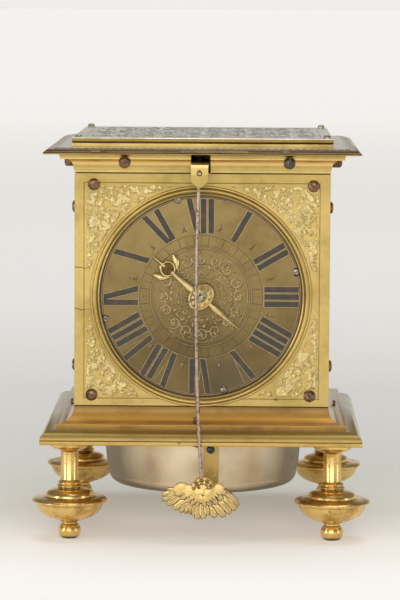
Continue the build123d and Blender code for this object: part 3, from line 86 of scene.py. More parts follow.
def make_piece(name, parts, slot, finish=None, stands_for=(), body="case", smooth=True):
    """Joins (points in mm, faces) pairs into one mesh, merges points that meet, turns faces outwards
    and hangs it on a body. Without a finish of its own the piece gets its slot's."""
    points, faces, first = [], [], 0
    for shape_points, shape_faces in parts:
        flat = np.asarray(shape_points, float).reshape(-1, 3)
        points.append(flat)
        faces.append(np.asarray(shape_faces) + first)
        first += len(flat)
    mesh = bpy.data.meshes.new(name)
    mesh.from_pydata((np.concatenate(points) * mm).tolist(), [], np.concatenate(faces).tolist())
    work = bmesh.new()
    work.from_mesh(mesh)
    bmesh.ops.remove_doubles(work, verts=work.verts, dist=merge_within)
    bmesh.ops.recalc_face_normals(work, faces=work.faces)
    for face in work.faces:
        face.smooth = smooth
    work.to_mesh(mesh)
    work.free()
    if smooth:
        mesh.set_sharp_from_angle(angle=sharp_above)
    piece = place_object(name, mesh)
    mesh.materials.append(finish or finishes[slot])
    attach(piece, body)
    if stands_for:
        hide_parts(*stands_for)
    print(name, "faces", len(mesh.polygons))


# %% [markdown]
# ## Raised strands
#
# An engraver's stroke is narrow at both ends and full in the middle. One function lays a whole family of
# such strokes on a flat face of the clock: each follows its own path and has a low arched section.

# %% Strands laid on a plane
round_back, sharp_back = (0, 0.72, 1, 0.72, 0), (0, 1, 0)  # the section of a strand, from side to side


def sideways(paths):
    """One step to the side of each path, at each of its points."""
    run = np.gradient(paths, axis=1)
    run /= np.maximum(np.linalg.norm(run, axis=2, keepdims=True), tiny)
    return np.stack([-run[..., 1], run[..., 0]], -1)


def swell(count, start, end):
    """Width along a stroke: start and end are its shares at the ends, and the middle is full."""
    t = np.linspace(0, 1, count)
    ends = start * (1 - t) + end * t
    return ends + (1 - ends) * np.sin(np.pi * t) ** 0.7


def strands(paths, half_widths, rise, face, ends=None, sink=0.12, crown=round_back):
    """Point (s, n, k) = path point + side * half width * across_k + outward * rise * crown_k,
    and one point below the face. With ends, each half width swells between these shares of it."""
    paths = np.asarray(paths, float)
    if ends is not None:
        half_widths = half_widths * swell(paths.shape[1], *ends)
    half_widths = np.broadcast_to(np.asarray(half_widths, float), paths.shape[:2])
    side = sideways(paths)
    across = np.append(np.linspace(-1, 1, len(crown)), 0)
    up = np.append(np.asarray(crown, float), 0)
    fullness = half_widths / max(half_widths.max(), tiny)
    flat = paths[:, :, None, :] + side[:, :, None, :] * (half_widths[..., None] * across)[..., None]
    high = rise * np.sqrt(fullness)[..., None] * up
    high[..., -1] = -sink * fullness
    points = face(flat[..., 0], flat[..., 1], high)
    return points, grid_faces(paths.shape[1], len(across), wrap_columns=True, copies=len(paths))


def on_front(y):
    """A face of the clock that looks forwards: (x, z, height) becomes (x, y - height, z)."""
    return lambda x, z, high: np.stack(np.broadcast_arrays(x, y - high, z), -1)


def on_top(z):
    """A face that looks up: (x, y, height) becomes (x, y, z + height)."""
    return lambda x, y, high: np.stack(np.broadcast_arrays(x, y, z + high), -1)


def pairs(first, second):
    """Pairs of coordinates; a single number serves all."""
    return np.stack(np.broadcast_arrays(first, second), -1)


# %% Flat plates with four corners
def plates(corners, low, high, face):
    """Box k has its four corners at height low and again at height high."""
    corners = np.asarray(corners, float)
    levels = np.array([low, high])
    points = face(corners[:, None, :, 0], corners[:, None, :, 1], levels[None, :, None])
    box = np.array([[4, 5, 6, 7], [3, 2, 1, 0], [0, 1, 5, 4], [1, 2, 6, 5], [2, 3, 7, 6], [3, 0, 4, 7]])
    return points, (box + 8 * np.arange(len(corners))[:, None, None]).reshape(-1, 4)


# %% [markdown]
# ## Turned and carried profiles
#
# Rings are turned on a lathe: a profile carried round a circle.

# %% A profile turned about an axis
def turned(profile, centre, steps=96, axis="y"):
    """Point (i, k) = centre + radius_k * (cos, sin)(angle_i) across the axis and height_k along it."""
    radius, height = np.asarray(profile, float).T
    angle = np.linspace(0, 2 * np.pi, steps, endpoint=False)
    a, b = radius * np.cos(angle)[:, None], radius * np.sin(angle)[:, None]
    along = np.broadcast_to(height, a.shape)
    points = np.stack([a, along, b] if axis == "y" else [a, b, along], -1) + np.asarray(centre, float)
    return points, grid_faces(steps, len(radius), wrap_rows=True, wrap_columns=True)


# %% [markdown]
# ## Effects that several metals share
#
# Old gilt brass is never one colour: it has brown patches, fine scratches from cleaning, dark dirt where
# two parts meet, darkened further with painted shade there, and bright worn corners. Each effect is a node
# group with named sockets, built once, so that every metal can use it at its own strength.

# %% Helpers that add nodes
def put(tree, kind, sockets=None, **settings):
    """Adds a node; a socket is set to a plain value or joined to another node's output."""
    node = tree.nodes.new("ShaderNode" + kind)
    for key, value in settings.items():
        setattr(node, key, value)
    for key, value in (sockets or {}).items():
        if isinstance(value, bpy.types.NodeSocket):
            tree.links.new(value, node.inputs[key])
        else:
            node.inputs[key].default_value = value
    return node


def new_group(name, inputs, outputs):
    """A node group; inputs are {name: default}, outputs are {name: socket kind}."""
    tree = bpy.data.node_groups.new(name, "ShaderNodeTree")
    for key, value in inputs.items():
        kind = "NodeSocketColor" if isinstance(value, tuple) else "NodeSocketFloat"
        tree.interface.new_socket(key, in_out="INPUT", socket_type=kind).default_value = value
    for key, kind in outputs.items():
        tree.interface.new_socket(key, in_out="OUTPUT", socket_type="NodeSocket" + kind)
    return tree, tree.nodes.new("NodeGroupInput").outputs, tree.nodes.new("NodeGroupOutput").inputs


def mix(tree, factor, a, b):
    """Mixes two colours and gives the result's socket."""
    return put(tree, "Mix", {0: factor, 6: a, 7: b}, data_type="RGBA").outputs[2]


def calc(tree, operation, a, b, clamp=False):
    """One step of arithmetic; clamp keeps the result between 0 and 1."""
    return put(tree, "Math", {0: a, 1: b}, operation=operation, use_clamp=clamp).outputs[0]


def times(tree, a, b, clamp=False):
    """The product of two values."""
    return calc(tree, "MULTIPLY", a, b, clamp)


def level(tree, value, low, high):
    """0 at low, 1 at high, smooth between."""
    return put(tree, "MapRange", {"Value": value, "From Min": low, "From Max": high},
               interpolation_type="SMOOTHSTEP").outputs["Result"]


def slope(tree, value, low, high, top):
    """0 at low, top at high, straight between."""
    return put(
        tree, "MapRange",
        {"Value": value, "From Min": low, "From Max": high, "To Max": top}).outputs["Result"]


def place_on(tree):
    """The place on the object, in metres."""
    return put(tree, "TexCoord").outputs["Object"]


def height_on(tree):
    """How high the place lies above the table, in metres."""
    return put(tree, "SeparateXYZ", {0: place_on(tree)}).outputs[2]


def noise(tree, where, scale, detail, **sockets):
    """A cloudy value about 0.5; a larger scale makes smaller clouds."""
    cloud = put(tree, "TexNoise", {"Vector": where, "Scale": scale, "Detail": detail, **sockets})
    return cloud.outputs["Fac"]


# %% Patches of tarnish
def build_tarnish():
    """Colour = metal mixed with tarnish where two sizes of noise rise above a threshold,
    and black in a few small pits."""
    tree, given, out = new_group(
        "tarnish_patches",
        {"Metal": (0.6, 0.42, 0.14, 1), "Tarnish": (0.25, 0.15, 0.05, 1),
         "Patches": 60.0, "Amount": 0.5, "Mottle": 0.15, "Pits": 0.0},
        {"Colour": "Color", "Mask": "Float"},
    )
    where = place_on(tree)
    broad = noise(tree, where, given["Patches"], 5.0, Roughness=0.6)
    fine = noise(tree, where, times(tree, given["Patches"], 9.0), 3.0)
    patch = times(tree, level(tree, broad, 0.42, 0.72), given["Amount"])
    speck = times(tree, calc(tree, "SUBTRACT", fine, 0.5), given["Mottle"])
    mask = calc(tree, "ADD", patch, speck, clamp=True)
    cell = put(tree, "TexVoronoi", {"Vector": where, "Scale": 110.0})
    few = level(tree, put(tree, "SeparateColor", {0: cell.outputs["Color"]}).outputs[0], 0.80, 0.84)
    pit = times(tree, calc(tree, "SUBTRACT", 1.0, level(tree, cell.outputs["Distance"], 0.05, 0.13)), few)
    pit = times(tree, pit, given["Pits"], clamp=True)
    toned = mix(tree, mask, given["Metal"], given["Tarnish"])
    tree.links.new(mix(tree, pit, toned, (0.03, 0.02, 0.012, 1)), out["Colour"])
    tree.links.new(calc(tree, "ADD", mask, pit, clamp=True), out["Mask"])
    return tree


# %% Dirt and painted shade in the corners between parts
def build_dirt_and_shade():
    """Soiling and painted shade = how closed in the place is, sharpened, broken up by noise, times amount."""
    tree, given, out = new_group(
        "corner_dirt_and_painted_shade",
        {"Clean": (0.6, 0.42, 0.14, 1), "Dirt and shade": (0.06, 0.04, 0.02, 1), "Reach": 0.002, "Amount": 0.8},
        {"Colour": "Color", "Mask": "Float"},
    )
    closed = put(tree, "AmbientOcclusion", {"Distance": given["Reach"]}, samples=8).outputs["AO"]
    grain = noise(tree, place_on(tree), 400.0, 3.0)
    broken = calc(tree, "ADD", times(tree, grain, 0.5), 0.75)
    # painted shade: darker where the place is closed in, in corners and between parts, together with soiling
    dirt_and_shade = times(tree, calc(tree, "SUBTRACT", 1.0, level(tree, closed, 0.15, 0.85)), broken)
    mask = times(tree, dirt_and_shade, given["Amount"], clamp=True)
    tree.links.new(mix(tree, mask, given["Clean"], given["Dirt and shade"]), out["Colour"])
    tree.links.new(mask, out["Mask"])
    return tree


# %% Bright worn corners
def build_worn_edges():
    """Edge = 1 minus how well a rounded normal agrees with the true one, which softens the corner too."""
    tree, given, out = new_group(
        "worn_edges",
        {"Colour": (0.5, 0.4, 0.1, 1), "Bright": (0.95, 0.75, 0.35, 1), "Radius": 0.0004, "Amount": 0.6},
        {"Colour": "Color", "Mask": "Float", "Normal": "Vector"},
    )
    soft = put(tree, "Bevel", {"Radius": given["Radius"]}, samples=4).outputs["Normal"]
    true = put(tree, "NewGeometry").outputs["Normal"]
    agree = put(tree, "VectorMath", {0: soft, 1: true}, operation="DOT_PRODUCT").outputs["Value"]
    edge = calc(tree, "SUBTRACT", 1.0, level(tree, agree, 0.78, 0.995))
    mask = times(tree, edge, given["Amount"], clamp=True)
    tree.links.new(mix(tree, mask, given["Colour"], given["Bright"]), out["Colour"])
    tree.links.new(mask, out["Mask"])
    tree.links.new(soft, out["Normal"])
    return tree


# %% Cleaning scratches and turning marks
def build_scratches():
    """Height and roughness from noise squeezed in X, Y or Z, which makes lines across that direction."""
    tree, given, out = new_group(
        "fine_scratches",
        {"Across X": 60.0, "Across Y": 60.0, "Across Z": 1500.0, "Polished": 0.25, "Dull": 0.5, "Mask": 0.0},
        {"Height": "Float", "Roughness": "Float"},
    )
    where = place_on(tree)
    squeeze = put(tree, "CombineXYZ", {k: given["Across " + axis] for k, axis in enumerate("XYZ")}).outputs[0]
    squeezed = put(tree, "VectorMath", {0: where, 1: squeeze}, operation="MULTIPLY").outputs[0]
    lines = noise(tree, squeezed, 1.0, 4.0, Roughness=0.65)
    dents = noise(tree, where, 260.0, 4.0)
    tree.links.new(calc(tree, "ADD", lines, dents), out["Height"])
    share = calc(tree, "ADD", times(tree, lines, 0.7), given["Mask"], clamp=True)
    rough = put(tree, "MapRange", {"Value": share, "To Min": given["Polished"], "To Max": given["Dull"]})
    tree.links.new(rough.outputs["Result"], out["Roughness"])
    return tree


groups = {"tarnish": build_tarnish(), "dirt_and_shade": build_dirt_and_shade(),
          "edges": build_worn_edges(), "scratches": build_scratches()}
print("shared effects:", sorted(groups))

# %% [markdown]
# ## One recipe, many metals
#
# Each metal of the clock runs through the same four effects in the same order: tarnish first, then dirt
# with painted shade, then worn corners, with scratches for the shine. What differs are the values, as one
# workshop's alloys and polishes differ.

# %% The recipe
def srgb(r, g, b):
    """A colour as an eye names it, 0 to 255, in the linear values a shader wants."""
    c = np.array([r, g, b]) / 255
    return tuple(np.where(c <= 0.04045, c / 12.92, ((c + 0.055) / 1.055) ** 2.4)) + (1.0,)


def place_group(tree, name, values, joins=()):
    """Puts a shared effect in a material with its own values; joins are {socket: another node's output}."""
    node = put(tree, "Group", node_tree=groups[name])
    for key, value in values.items():
        node.inputs[key].default_value = value
    for key, output in dict(joins).items():
        tree.links.new(output, node.inputs[key])
    return node


corner_radius = 0.35  # mm: how far a worn corner reaches
scratch_depth = 0.0004  # metres
coat_roughness = 0.15


def metal(name, colour, tarnish, patches, amount, mottle, pits=0.0, dirt_and_shade=(40, 26, 10), reach=1.6,
          dirt_and_shade_amount=0.75, bright=None, wear=0.5, scratch=(80, 80, 900), polish=(0.25, 0.45), bump=0.12,
          metallic=1.0, lacquer=0.0):
    """A metal finish; lengths are in mm, colours in 0 to 255."""
    material = bpy.data.materials.new(name)
    material.use_nodes = True
    tree = material.node_tree
    shader = tree.nodes["Principled BSDF"]
    shader.inputs["Metallic"].default_value = metallic
    shader.inputs["Coat Weight"].default_value = lacquer
    shader.inputs["Coat Roughness"].default_value = coat_roughness
    patch = place_group(
        tree, "tarnish",
        {
            "Metal": srgb(*colour), "Tarnish": srgb(*tarnish), "Patches": patches, "Amount": amount,
            "Mottle": mottle, "Pits": pits})
    # dirt together with painted shade in corners, hollows and between parts
    dirt_and_shade_pass = place_group(tree, "dirt_and_shade", {"Dirt and shade": srgb(*dirt_and_shade), "Reach": reach * mm, "Amount": dirt_and_shade_amount},
                        {"Clean": patch.outputs["Colour"]})
    edge = place_group(tree, "edges", {"Bright": srgb(*(bright or colour)), "Radius": corner_radius * mm,
                                       "Amount": wear}, {"Colour": dirt_and_shade_pass.outputs["Colour"]})
    lines = place_group(
        tree, "scratches",
        {
            "Across X": scratch[0], "Across Y": scratch[1], "Across Z": scratch[2], "Polished": polish[0],
            "Dull": polish[1]},
        {"Mask": patch.outputs["Mask"]})
    lift = put(tree, "Bump", {"Height": lines.outputs["Height"], "Normal": edge.outputs["Normal"],
                              "Strength": bump, "Distance": scratch_depth})
    tree.links.new(edge.outputs["Colour"], shader.inputs["Base Color"])
    tree.links.new(lines.outputs["Roughness"], shader.inputs["Roughness"])
    tree.links.new(lift.outputs["Normal"], shader.inputs["Normal"])
    return material


def tint(material, make_colour):
    """Changes what feeds the base colour: make_colour(tree, colour socket) gives the new colour socket."""
    tree = material.node_tree
    base = tree.nodes["Principled BSDF"].inputs["Base Color"]
    tree.links.new(make_colour(tree, base.links[0].from_socket), base)


# %% The metals of this clock
finishes = {
    "gilt_brass": metal(
        "gilt_panel", (194, 168, 102), (146, 124, 66), 34, 0.5, 0.5, pits=0.6, bright=(236, 214, 150),
        scratch=(60, 60, 1100), polish=(0.26, 0.46)),
    "base_brass": metal(
        "base_plate_brass", (204, 170, 98), (164, 124, 58), 50, 0.6, 0.4, pits=0.6, bright=(232, 206, 140),
        scratch=(40, 40, 1300), polish=(0.22, 0.4), bump=0.06),
    "lid_plate": metal(
        "silvered_lid", (232, 226, 213), (190, 180, 166), 55, 0.6, 0.4, dirt_and_shade=(60, 56, 44),
        bright=(222, 218, 206), polish=(0.2, 0.4)),
    "dial_brass": metal(
        "olive_dial_brass", (146, 125, 80), (112, 92, 56), 42, 0.6, 0.3, pits=0.3, bright=(176, 154, 106),
        polish=(0.34, 0.5)),
    "bell_metal": metal(
        "cast_bell_metal", (232, 216, 186), (196, 178, 144), 30, 0.5, 0.2, pits=0.9, dirt_and_shade=(60, 48, 30),
        scratch=(160, 160, 40), polish=(0.4, 0.5), bump=0.02),
    "old_steel_screws": metal(
        "brown_screw_steel", (140, 108, 84), (50, 34, 24), 420, 1.0, 1.0, dirt_and_shade=(14, 10, 8),
        bright=(236, 214, 190), reach=0.9, dirt_and_shade_amount=1.0, polish=(0.24, 0.4), bump=0.2),
    "bright_steel": metal(
        "bright_screw_steel", (186, 176, 158), (88, 72, 56), 400, 0.8, 0.8, dirt_and_shade=(24, 18, 14),
        bright=(232, 228, 218), reach=0.6, dirt_and_shade_amount=0.9),
    "blued_steel": metal(
        "blued_steel", (66, 82, 84), (22, 26, 26), 500, 1.0, 0.9, dirt_and_shade=(10, 12, 12), bright=(214, 232, 236),
        reach=0.8, polish=(0.1, 0.3), dirt_and_shade_amount=1.0),
    "hand_brass": metal(
        "gilt_hand", (232, 208, 146), (176, 146, 84), 260, 0.7, 0.7, dirt_and_shade=(58, 40, 14),
        bright=(252, 238, 192), reach=1.0, dirt_and_shade_amount=1.0, wear=0.7, polish=(0.24, 0.42)),
    "pendulum_wire": metal(
        "pendulum_wire", (186, 168, 152), (104, 80, 66), 700, 1.0, 1.0, bright=(232, 220, 214), reach=0.5,
        scratch=(900, 900, 200)),
    "movement_brass": metal(
        "movement_brass", (198, 164, 88), (150, 112, 50), 70, 0.6, 0.25, bright=(236, 208, 140)),
    "movement_steel": metal(
        "movement_steel", (150, 147, 140), (96, 84, 72), 120, 0.6, 0.3, bright=(220, 218, 212)),
    "spring_steel": metal("spring_steel", (96, 96, 102), (60, 52, 48), 160, 0.6, 0.3, bright=(170, 172, 180))}
aged_base = metal(
    "orange_moulding_brass", (168, 132, 66), (140, 96, 36), 36, 0.8, 0.5, pits=1.0, dirt_and_shade=(34, 20, 6),
    bright=(206, 176, 106), wear=0.35, scratch=(30, 30, 700), polish=(0.46, 0.6), bump=0.06, lacquer=0.3)
foot_brass = metal(
    "polished_foot_brass", (236, 202, 128), (164, 118, 48), 110, 0.8, 0.8, pits=0.4, dirt_and_shade=(64, 38, 10),
    reach=2.6, dirt_and_shade_amount=1.0, bright=(255, 240, 188), scratch=(90, 90, 1300), polish=(0.13, 0.36))
lustre = metal(
    "burnished_gilt", (242, 220, 156), (204, 174, 104), 120, 0.6, 0.5, dirt_and_shade=(92, 68, 28),
    bright=(246, 230, 172), dirt_and_shade_amount=0.9, reach=0.7, polish=(0.24, 0.42))
# dark engraved lines; the same finish paints shadows and shadow lines elsewhere
dark_lines_and_shadows = metal(
    "dark_lines_and_painted_shadows", (54, 36, 12), (34, 22, 8), 200, 0.6, 0.4, bright=(70, 50, 22), polish=(0.5, 0.7),
    metallic=0.3, dirt_and_shade_amount=0.4)
print("finishes:", len(finishes))

# %% [markdown]
# ## Finishes that change from place to place
#
# The lid plate is silvered on top only, so its edges stay gilt, with a painted shadow along their foot.
# The dial is darker towards its foot, a painted reflection of the shaded table. The front and the base
# moulding carry painted light and shade in bands by height; the mouldings get a painted light sheen and the
# bell painted shade where they turn away from the eye. Each is one more mix before the base colour.

# %% Tones that follow place, height or direction
# places and heights are in metres here, with heights above the table
grey_spot = (0.013, -0.0616, 0.075)  # the cloudy place at the foot of the dial


def between(tree, value, low, low_full, high_full, high):
    """0 outside low and high, 1 between the two full marks, smooth at both ends."""
    return times(tree, level(tree, value, low, low_full), level(tree, value, high, high_full))


def gilt_sides_shaded_foot(tree, colour):
    """Silvered where the surface looks up, gilt where it looks aside, with a painted shadow along its foot.
    """
    aim = put(tree, "SeparateXYZ", {0: put(tree, "NewGeometry").outputs["Normal"]}).outputs[2]
    # painted shadow along the foot of the lid's edge, over the rim
    edge = mix(tree, level(tree, height_on(tree), 0.1941, 0.1935), srgb(140, 114, 60), srgb(46, 32, 12))
    return mix(tree, level(tree, aim, 0.5, 0.8), edge, colour)


def painted_dial_foot_shade(tree, colour):
    """A painted darker reflection from the middle of the dial down to its foot, with an uneven edge."""
    where = place_on(tree)
    cloud = noise(tree, where, 26.0, 3.0)
    height = put(tree, "SeparateXYZ", {0: where}).outputs[2]
    height = calc(tree, "ADD", height, times(tree, calc(tree, "SUBTRACT", cloud, 0.5), 0.05))
    away = put(tree, "VectorMath", {0: where, 1: grey_spot}, operation="DISTANCE").outputs["Value"]
    spot = times(tree, level(tree, calc(tree, "ADD", away, times(tree, cloud, 0.012)), 0.026, 0.008), 0.5)
    # painted shade: the dial darkens towards its foot, where it mirrors the shaded table
    shaded_foot = mix(tree, level(tree, height, 0.066, 0.165), mix(tree, 0.5, colour, srgb(66, 56, 40)), colour)
    return mix(tree, spot, shaded_foot, srgb(82, 78, 68))


def front_painted_shade_and_light(tree, colour):
    """Painted shade dims the top of the front a little under the cornice, and painted light brightens the
    hollow of the cornice."""
    height = height_on(tree)
    # painted shade under the cornice
    under_cornice_shade = between(tree, height, 0.158, 0.174, 0.1785, 0.1795)
    # painted light in the hollow of the cornice
    hollow = between(tree, height, 0.1818, 0.1830, 0.1852, 0.1862)
    toned = mix(tree, times(tree, under_cornice_shade, 0.4), colour, srgb(132, 114, 62))
    return mix(tree, times(tree, hollow, 0.75), toned, srgb(250, 214, 138))


def moulding_painted_light_and_shade(tree, colour):
    """Painted light and shade by height: light in the hollow of the base moulding and on its ovolo, brown
    shade at the top and a dark painted shadow line at the foot."""
    height = height_on(tree)
    hollow = level(tree, height, 0.0625, 0.0590)
    upright = level(tree, height, 0.0622, 0.0640)
    # painted light: the lower hollow of the cove is lighter
    thin = mix(tree, times(tree, hollow, level(tree, height, 0.0560, 0.0570)), colour, srgb(222, 172, 82))
    # painted light on the ovolo
    lit_ovolo = mix(tree, times(tree, level(tree, height, 0.0546, 0.0540), 0.42), thin, srgb(200, 178, 106))
    # a painted shadow line at the foot of the moulding
    foot = mix(tree, level(tree, height, 0.0499, 0.0495), lit_ovolo, srgb(84, 60, 22))
    # painted shade at the top of the cove, under the panel
    return mix(tree, times(tree, upright, 0.6), foot, srgb(118, 84, 34))


def turned_away(tree):
    """0 where the surface faces the eye and 1 where it is seen edge on."""
    return put(tree, "LayerWeight", {"Blend": 0.5}).outputs["Facing"]


def grazing_painted_sheen(tree, colour):
    """A painted reflection makes a moulding lighter where it is seen almost edge on."""
    edge_on = turned_away(tree)
    pale = mix(tree, noise(tree, place_on(tree), 90.0, 4.0), srgb(212, 200, 172), srgb(250, 242, 222))
    # painted reflection where the surface is seen edge on
    return mix(tree, slope(tree, edge_on, 0.74, 0.88, 0.95), colour, pale)


def painted_shade_round_the_side(tree, colour):
    """Painted shade: the bell's metal is darker where its wall turns away."""
    return mix(tree, slope(tree, turned_away(tree), 0.14, 0.5, 0.75), colour, srgb(92, 78, 54))


tint(finishes["lid_plate"], gilt_sides_shaded_foot)
tint(finishes["dial_brass"], painted_dial_foot_shade)
tint(finishes["bell_metal"], painted_shade_round_the_side)
tint(finishes["gilt_brass"], front_painted_shade_and_light)
tint(aged_base, moulding_painted_light_and_shade)
tint(aged_base, grazing_painted_sheen)

# %% [markdown]
# ## Dress the solid parts
#
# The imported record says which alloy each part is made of, so one pass gives every solid its finish.

# %% Give each part its metal
for part in frame["record"]["subparts"]:
    for place in frame["nodes"][part["node"]].material_slots:
        place.material = finishes[part["material_slot"]]

# %% [markdown]
# ## Slotted screw heads
#
# The case is held by round-headed screws with a sawn slot. Each head is one closed sheet: its columns run
# across the slot, and two pairs of columns share a place but not a height, which makes the slot's walls.

# %% A domed head with a slot
slot_share = 0.6  # how much of the head's height the slot takes


def slotted_heads(seats, outward, slot_angles, radius, height, slot=0.42, sink=0.3):
    """On the dome a point stands height * (0.35 + 0.65 * sqrt(1 - r^2.4)) high, in the slot
    height * (1 - slot share)."""
    s = slot / radius
    u = np.array([-1, -0.95, -0.8, -0.5, -s, -s, s, s, 0.5, 0.8, 0.95, 1.0])
    v = np.array([-1, -1, -0.85, -0.5, 0, 0.5, 0.85, 1, 1.0])
    across = np.repeat(u[:, None], len(v), 1)
    along = np.sqrt(1 - u**2)[:, None] * v
    r = np.minimum(np.hypot(across, along), 1)
    high = height * (0.35 + 0.65 * np.sqrt(1 - r**2.4))
    high[5:7] = height * (1 - slot_share)  # the two columns in the slot
    high[:, [0, -1]] = -sink
    seats, outward = np.asarray(seats, float), np.broadcast_to(np.asarray(outward, float), np.shape(seats))
    aside = np.cross(outward, [0, 0, 1.0])
    aside[np.linalg.norm(aside, axis=1) < 0.5] = [1, 0, 0]
    above = np.cross(aside, outward)
    angle = np.radians(np.asarray(slot_angles, float))[:, None]
    slot_way = np.cos(angle) * aside + np.sin(angle) * above
    cross_way = np.cross(slot_way, outward)
    points = (seats[:, None, None, :] + cross_way[:, None, None, :] * (radius * across)[None, :, :, None]
              + slot_way[:, None, None, :] * (radius * along)[None, :, :, None]
              + outward[:, None, None, :] * high[None, :, :, None])
    return points, grid_faces(len(u), len(v), wrap_columns=True, copies=len(seats))


# %% Places round the case
def on_side(side, across, out, height):
    """A point on one side of the case, from its width, its distance out from the middle and its height."""
    return {"front": (across, -out, height), "rear": (-across, out, height),
            "left": (-out, -across, height), "right": (out, across, height)}[side]


facing = {"front": (0, -1, 0), "rear": (0, 1, 0), "left": (-1, 0, 0), "right": (1, 0, 0)}
sides = list(facing)
chance = np.random.default_rng(7)
case_half = 62.0  # mm: half the width of the case
lid_top = 195.5
dial_centre = np.array([-0.4, 118.6])
dial_y = -61.6
dial_face, panel_face = on_front(dial_y), on_front(-case_half)

# %% Screws of the panels, cornice, base, lid, dial and stay
panel_seats, panel_ways = [], []
for side in sides:
    rises = (70.2, 172.9) if side in ("front", "rear") else (84.0, 161.6)
    panel_seats += [on_side(side, sign * 53.2, case_half, rise) for sign in (-1, 1) for rise in rises]
    panel_ways += [facing[side]] * 4
panel_seats[:4] = [(-53.6, -case_half, 70.2), (-52.6, -case_half, 172.9),
                   (52.7, -case_half, 70.2), (53.8, -case_half, 172.6)]
slots = np.concatenate([[20, -38, 62, 38], chance.uniform(0, 180, 12)])
make_piece("panel_screw_heads", [slotted_heads(panel_seats, panel_ways, slots, 2.9, 1.7)],
           "old_steel_screws", stands_for=["panel_screws"])
cornice_seats = [on_side(side, sign * 39.2, 66.5, 183.3) for side in sides for sign in (-1, 1)]
cornice_seats[:2] = [(-37.5, -68.9, 184.0), (41.9, -68.9, 184.0)]
cornice_rows = (np.array(cornice_seats), np.repeat(list(facing.values()), 2, axis=0),
                np.array([-6, 96, 20, 70, 130, 10, 45, 80]))
green = 1  # the front's right screw has a greenish head
green_head = slotted_heads(*(row[[green]] for row in cornice_rows), 2.9, 1.8, sink=3.0)
brown_heads = slotted_heads(*(np.delete(row, green, 0) for row in cornice_rows), 2.9, 1.8, sink=3.0)
make_piece("cornice_screw_heads", [brown_heads], "old_steel_screws", stands_for=["cornice_screws"])
green_steel = metal(
    "green_screw_steel", (96, 90, 78), (40, 40, 34), 500, 1.0, 0.9, dirt_and_shade=(12, 12, 10), bright=(232, 236, 226),
    reach=0.9, dirt_and_shade_amount=1.0, polish=(0.12, 0.3), bump=0.2)
make_piece("green_cornice_screw_head", [green_head], "old_steel_screws", green_steel)
turn = np.radians(346.5 + 90 * np.arange(4))
dial_seats = np.stack([dial_centre[0] + 47.4 * np.sin(turn), np.full(4, dial_y),
                       dial_centre[1] + 47.4 * np.cos(turn)], -1)
dial_seats += np.array([(-0.4, 0, 0.9), (0, 0, 1.3), (0.3, 0, 0.6), (-0.4, 0, 0)])
dial_screw_steel = metal(
    "worn_dial_screws", (176, 158, 146), (64, 48, 40), 500, 0.9, 0.9, dirt_and_shade=(20, 14, 10),
    bright=(240, 230, 222), reach=0.8, dirt_and_shade_amount=1.0, polish=(0.14, 0.3))
base_seats = [on_side(side, -2.4 if side == "front" else 0, 66.2, 58.4) for side in sides]
base_ways = list(facing.values())
lid_seats = [(x, y, lid_top) for x in (-60.1, 60.1) for y in (-60.1, 60.1)]
for part, seats, ways, angles, radius, height, slot_half, finish in (
    ("base", base_seats, base_ways, [15, 80, 120, 40], 1.65, 1.2, 0.28, finishes["old_steel_screws"]),
    ("lid", lid_seats, (0, 0, 1), [30, 100, 75, 160], 1.8, 1.7, 0.24, finishes["bright_steel"]),
    ("dial", dial_seats, facing["front"], [62, 160, 84, 20], 1.8, 1.2, 0.26, dial_screw_steel),
):
    heads = slotted_heads(seats, ways, angles, radius, height, slot=slot_half)
    make_piece(part + "_screw_heads", [heads], "bright_steel", finish, stands_for=[part + "_screws"])

# %% A painted shadow at the bell's rim beside the hammer, and the head of the stay's screw
# a dark plate that paints the shadow at the bell's rim
shadow_corners, bell_y = [(-6.0, 44.4), (-0.2, 44.4), (-0.8, 42.2), (-4.0, 43.1)], -49.42
hammer_shadow_plate = plates([shadow_corners], 0.0, 0.12, on_front(bell_y))
make_piece("hammer_shadow_plate", [hammer_shadow_plate], "bell_metal", dark_lines_and_shadows, smooth=False)
stay_head = slotted_heads([(4.6, -56.0, 42.6)], facing["front"], [130], 2.0, 1.3, slot=0.3)
make_piece("stay_screw_head", [stay_head], "blued_steel", stands_for=["stay_screw"])

# %% [markdown]
# ## The moulded ring round the dial
#
# The bezel is turned: an outer step, a broad bright roll, a groove and a thin inner bead.

# %% Turn the bezel
bezel_profile = [(49.2, -61.5), (49.2, -62.9), (49.35, -63.35), (49.75, -63.6), (50.15, -63.4), (50.3, -63.0),
                 (50.5, -63.05), (50.75, -63.7), (51.2, -64.1), (51.7, -64.2), (52.2, -64.05), (52.6, -63.6),
                 (52.8, -63.15), (53.0, -62.95), (53.4, -63.05), (53.75, -62.9), (53.9, -62.5), (53.9, -61.5)]
dial_axis = (dial_centre[0], 0, dial_centre[1])
make_piece("moulded_bezel", [turned(bezel_profile, dial_axis, steps=180)], "gilt_brass", stands_for=["bezel"])

# %% [markdown]
# ## Mouldings round the case
#
# The base moulding and the cornice were planed as long strips, mitred and soldered at the corners. The same
# is done here: one profile, as (distance from the middle, height), runs along each side, and neighbouring
# strips meet on the diagonal. The cornice is cut away in front, where the pendulum's bracket comes out.

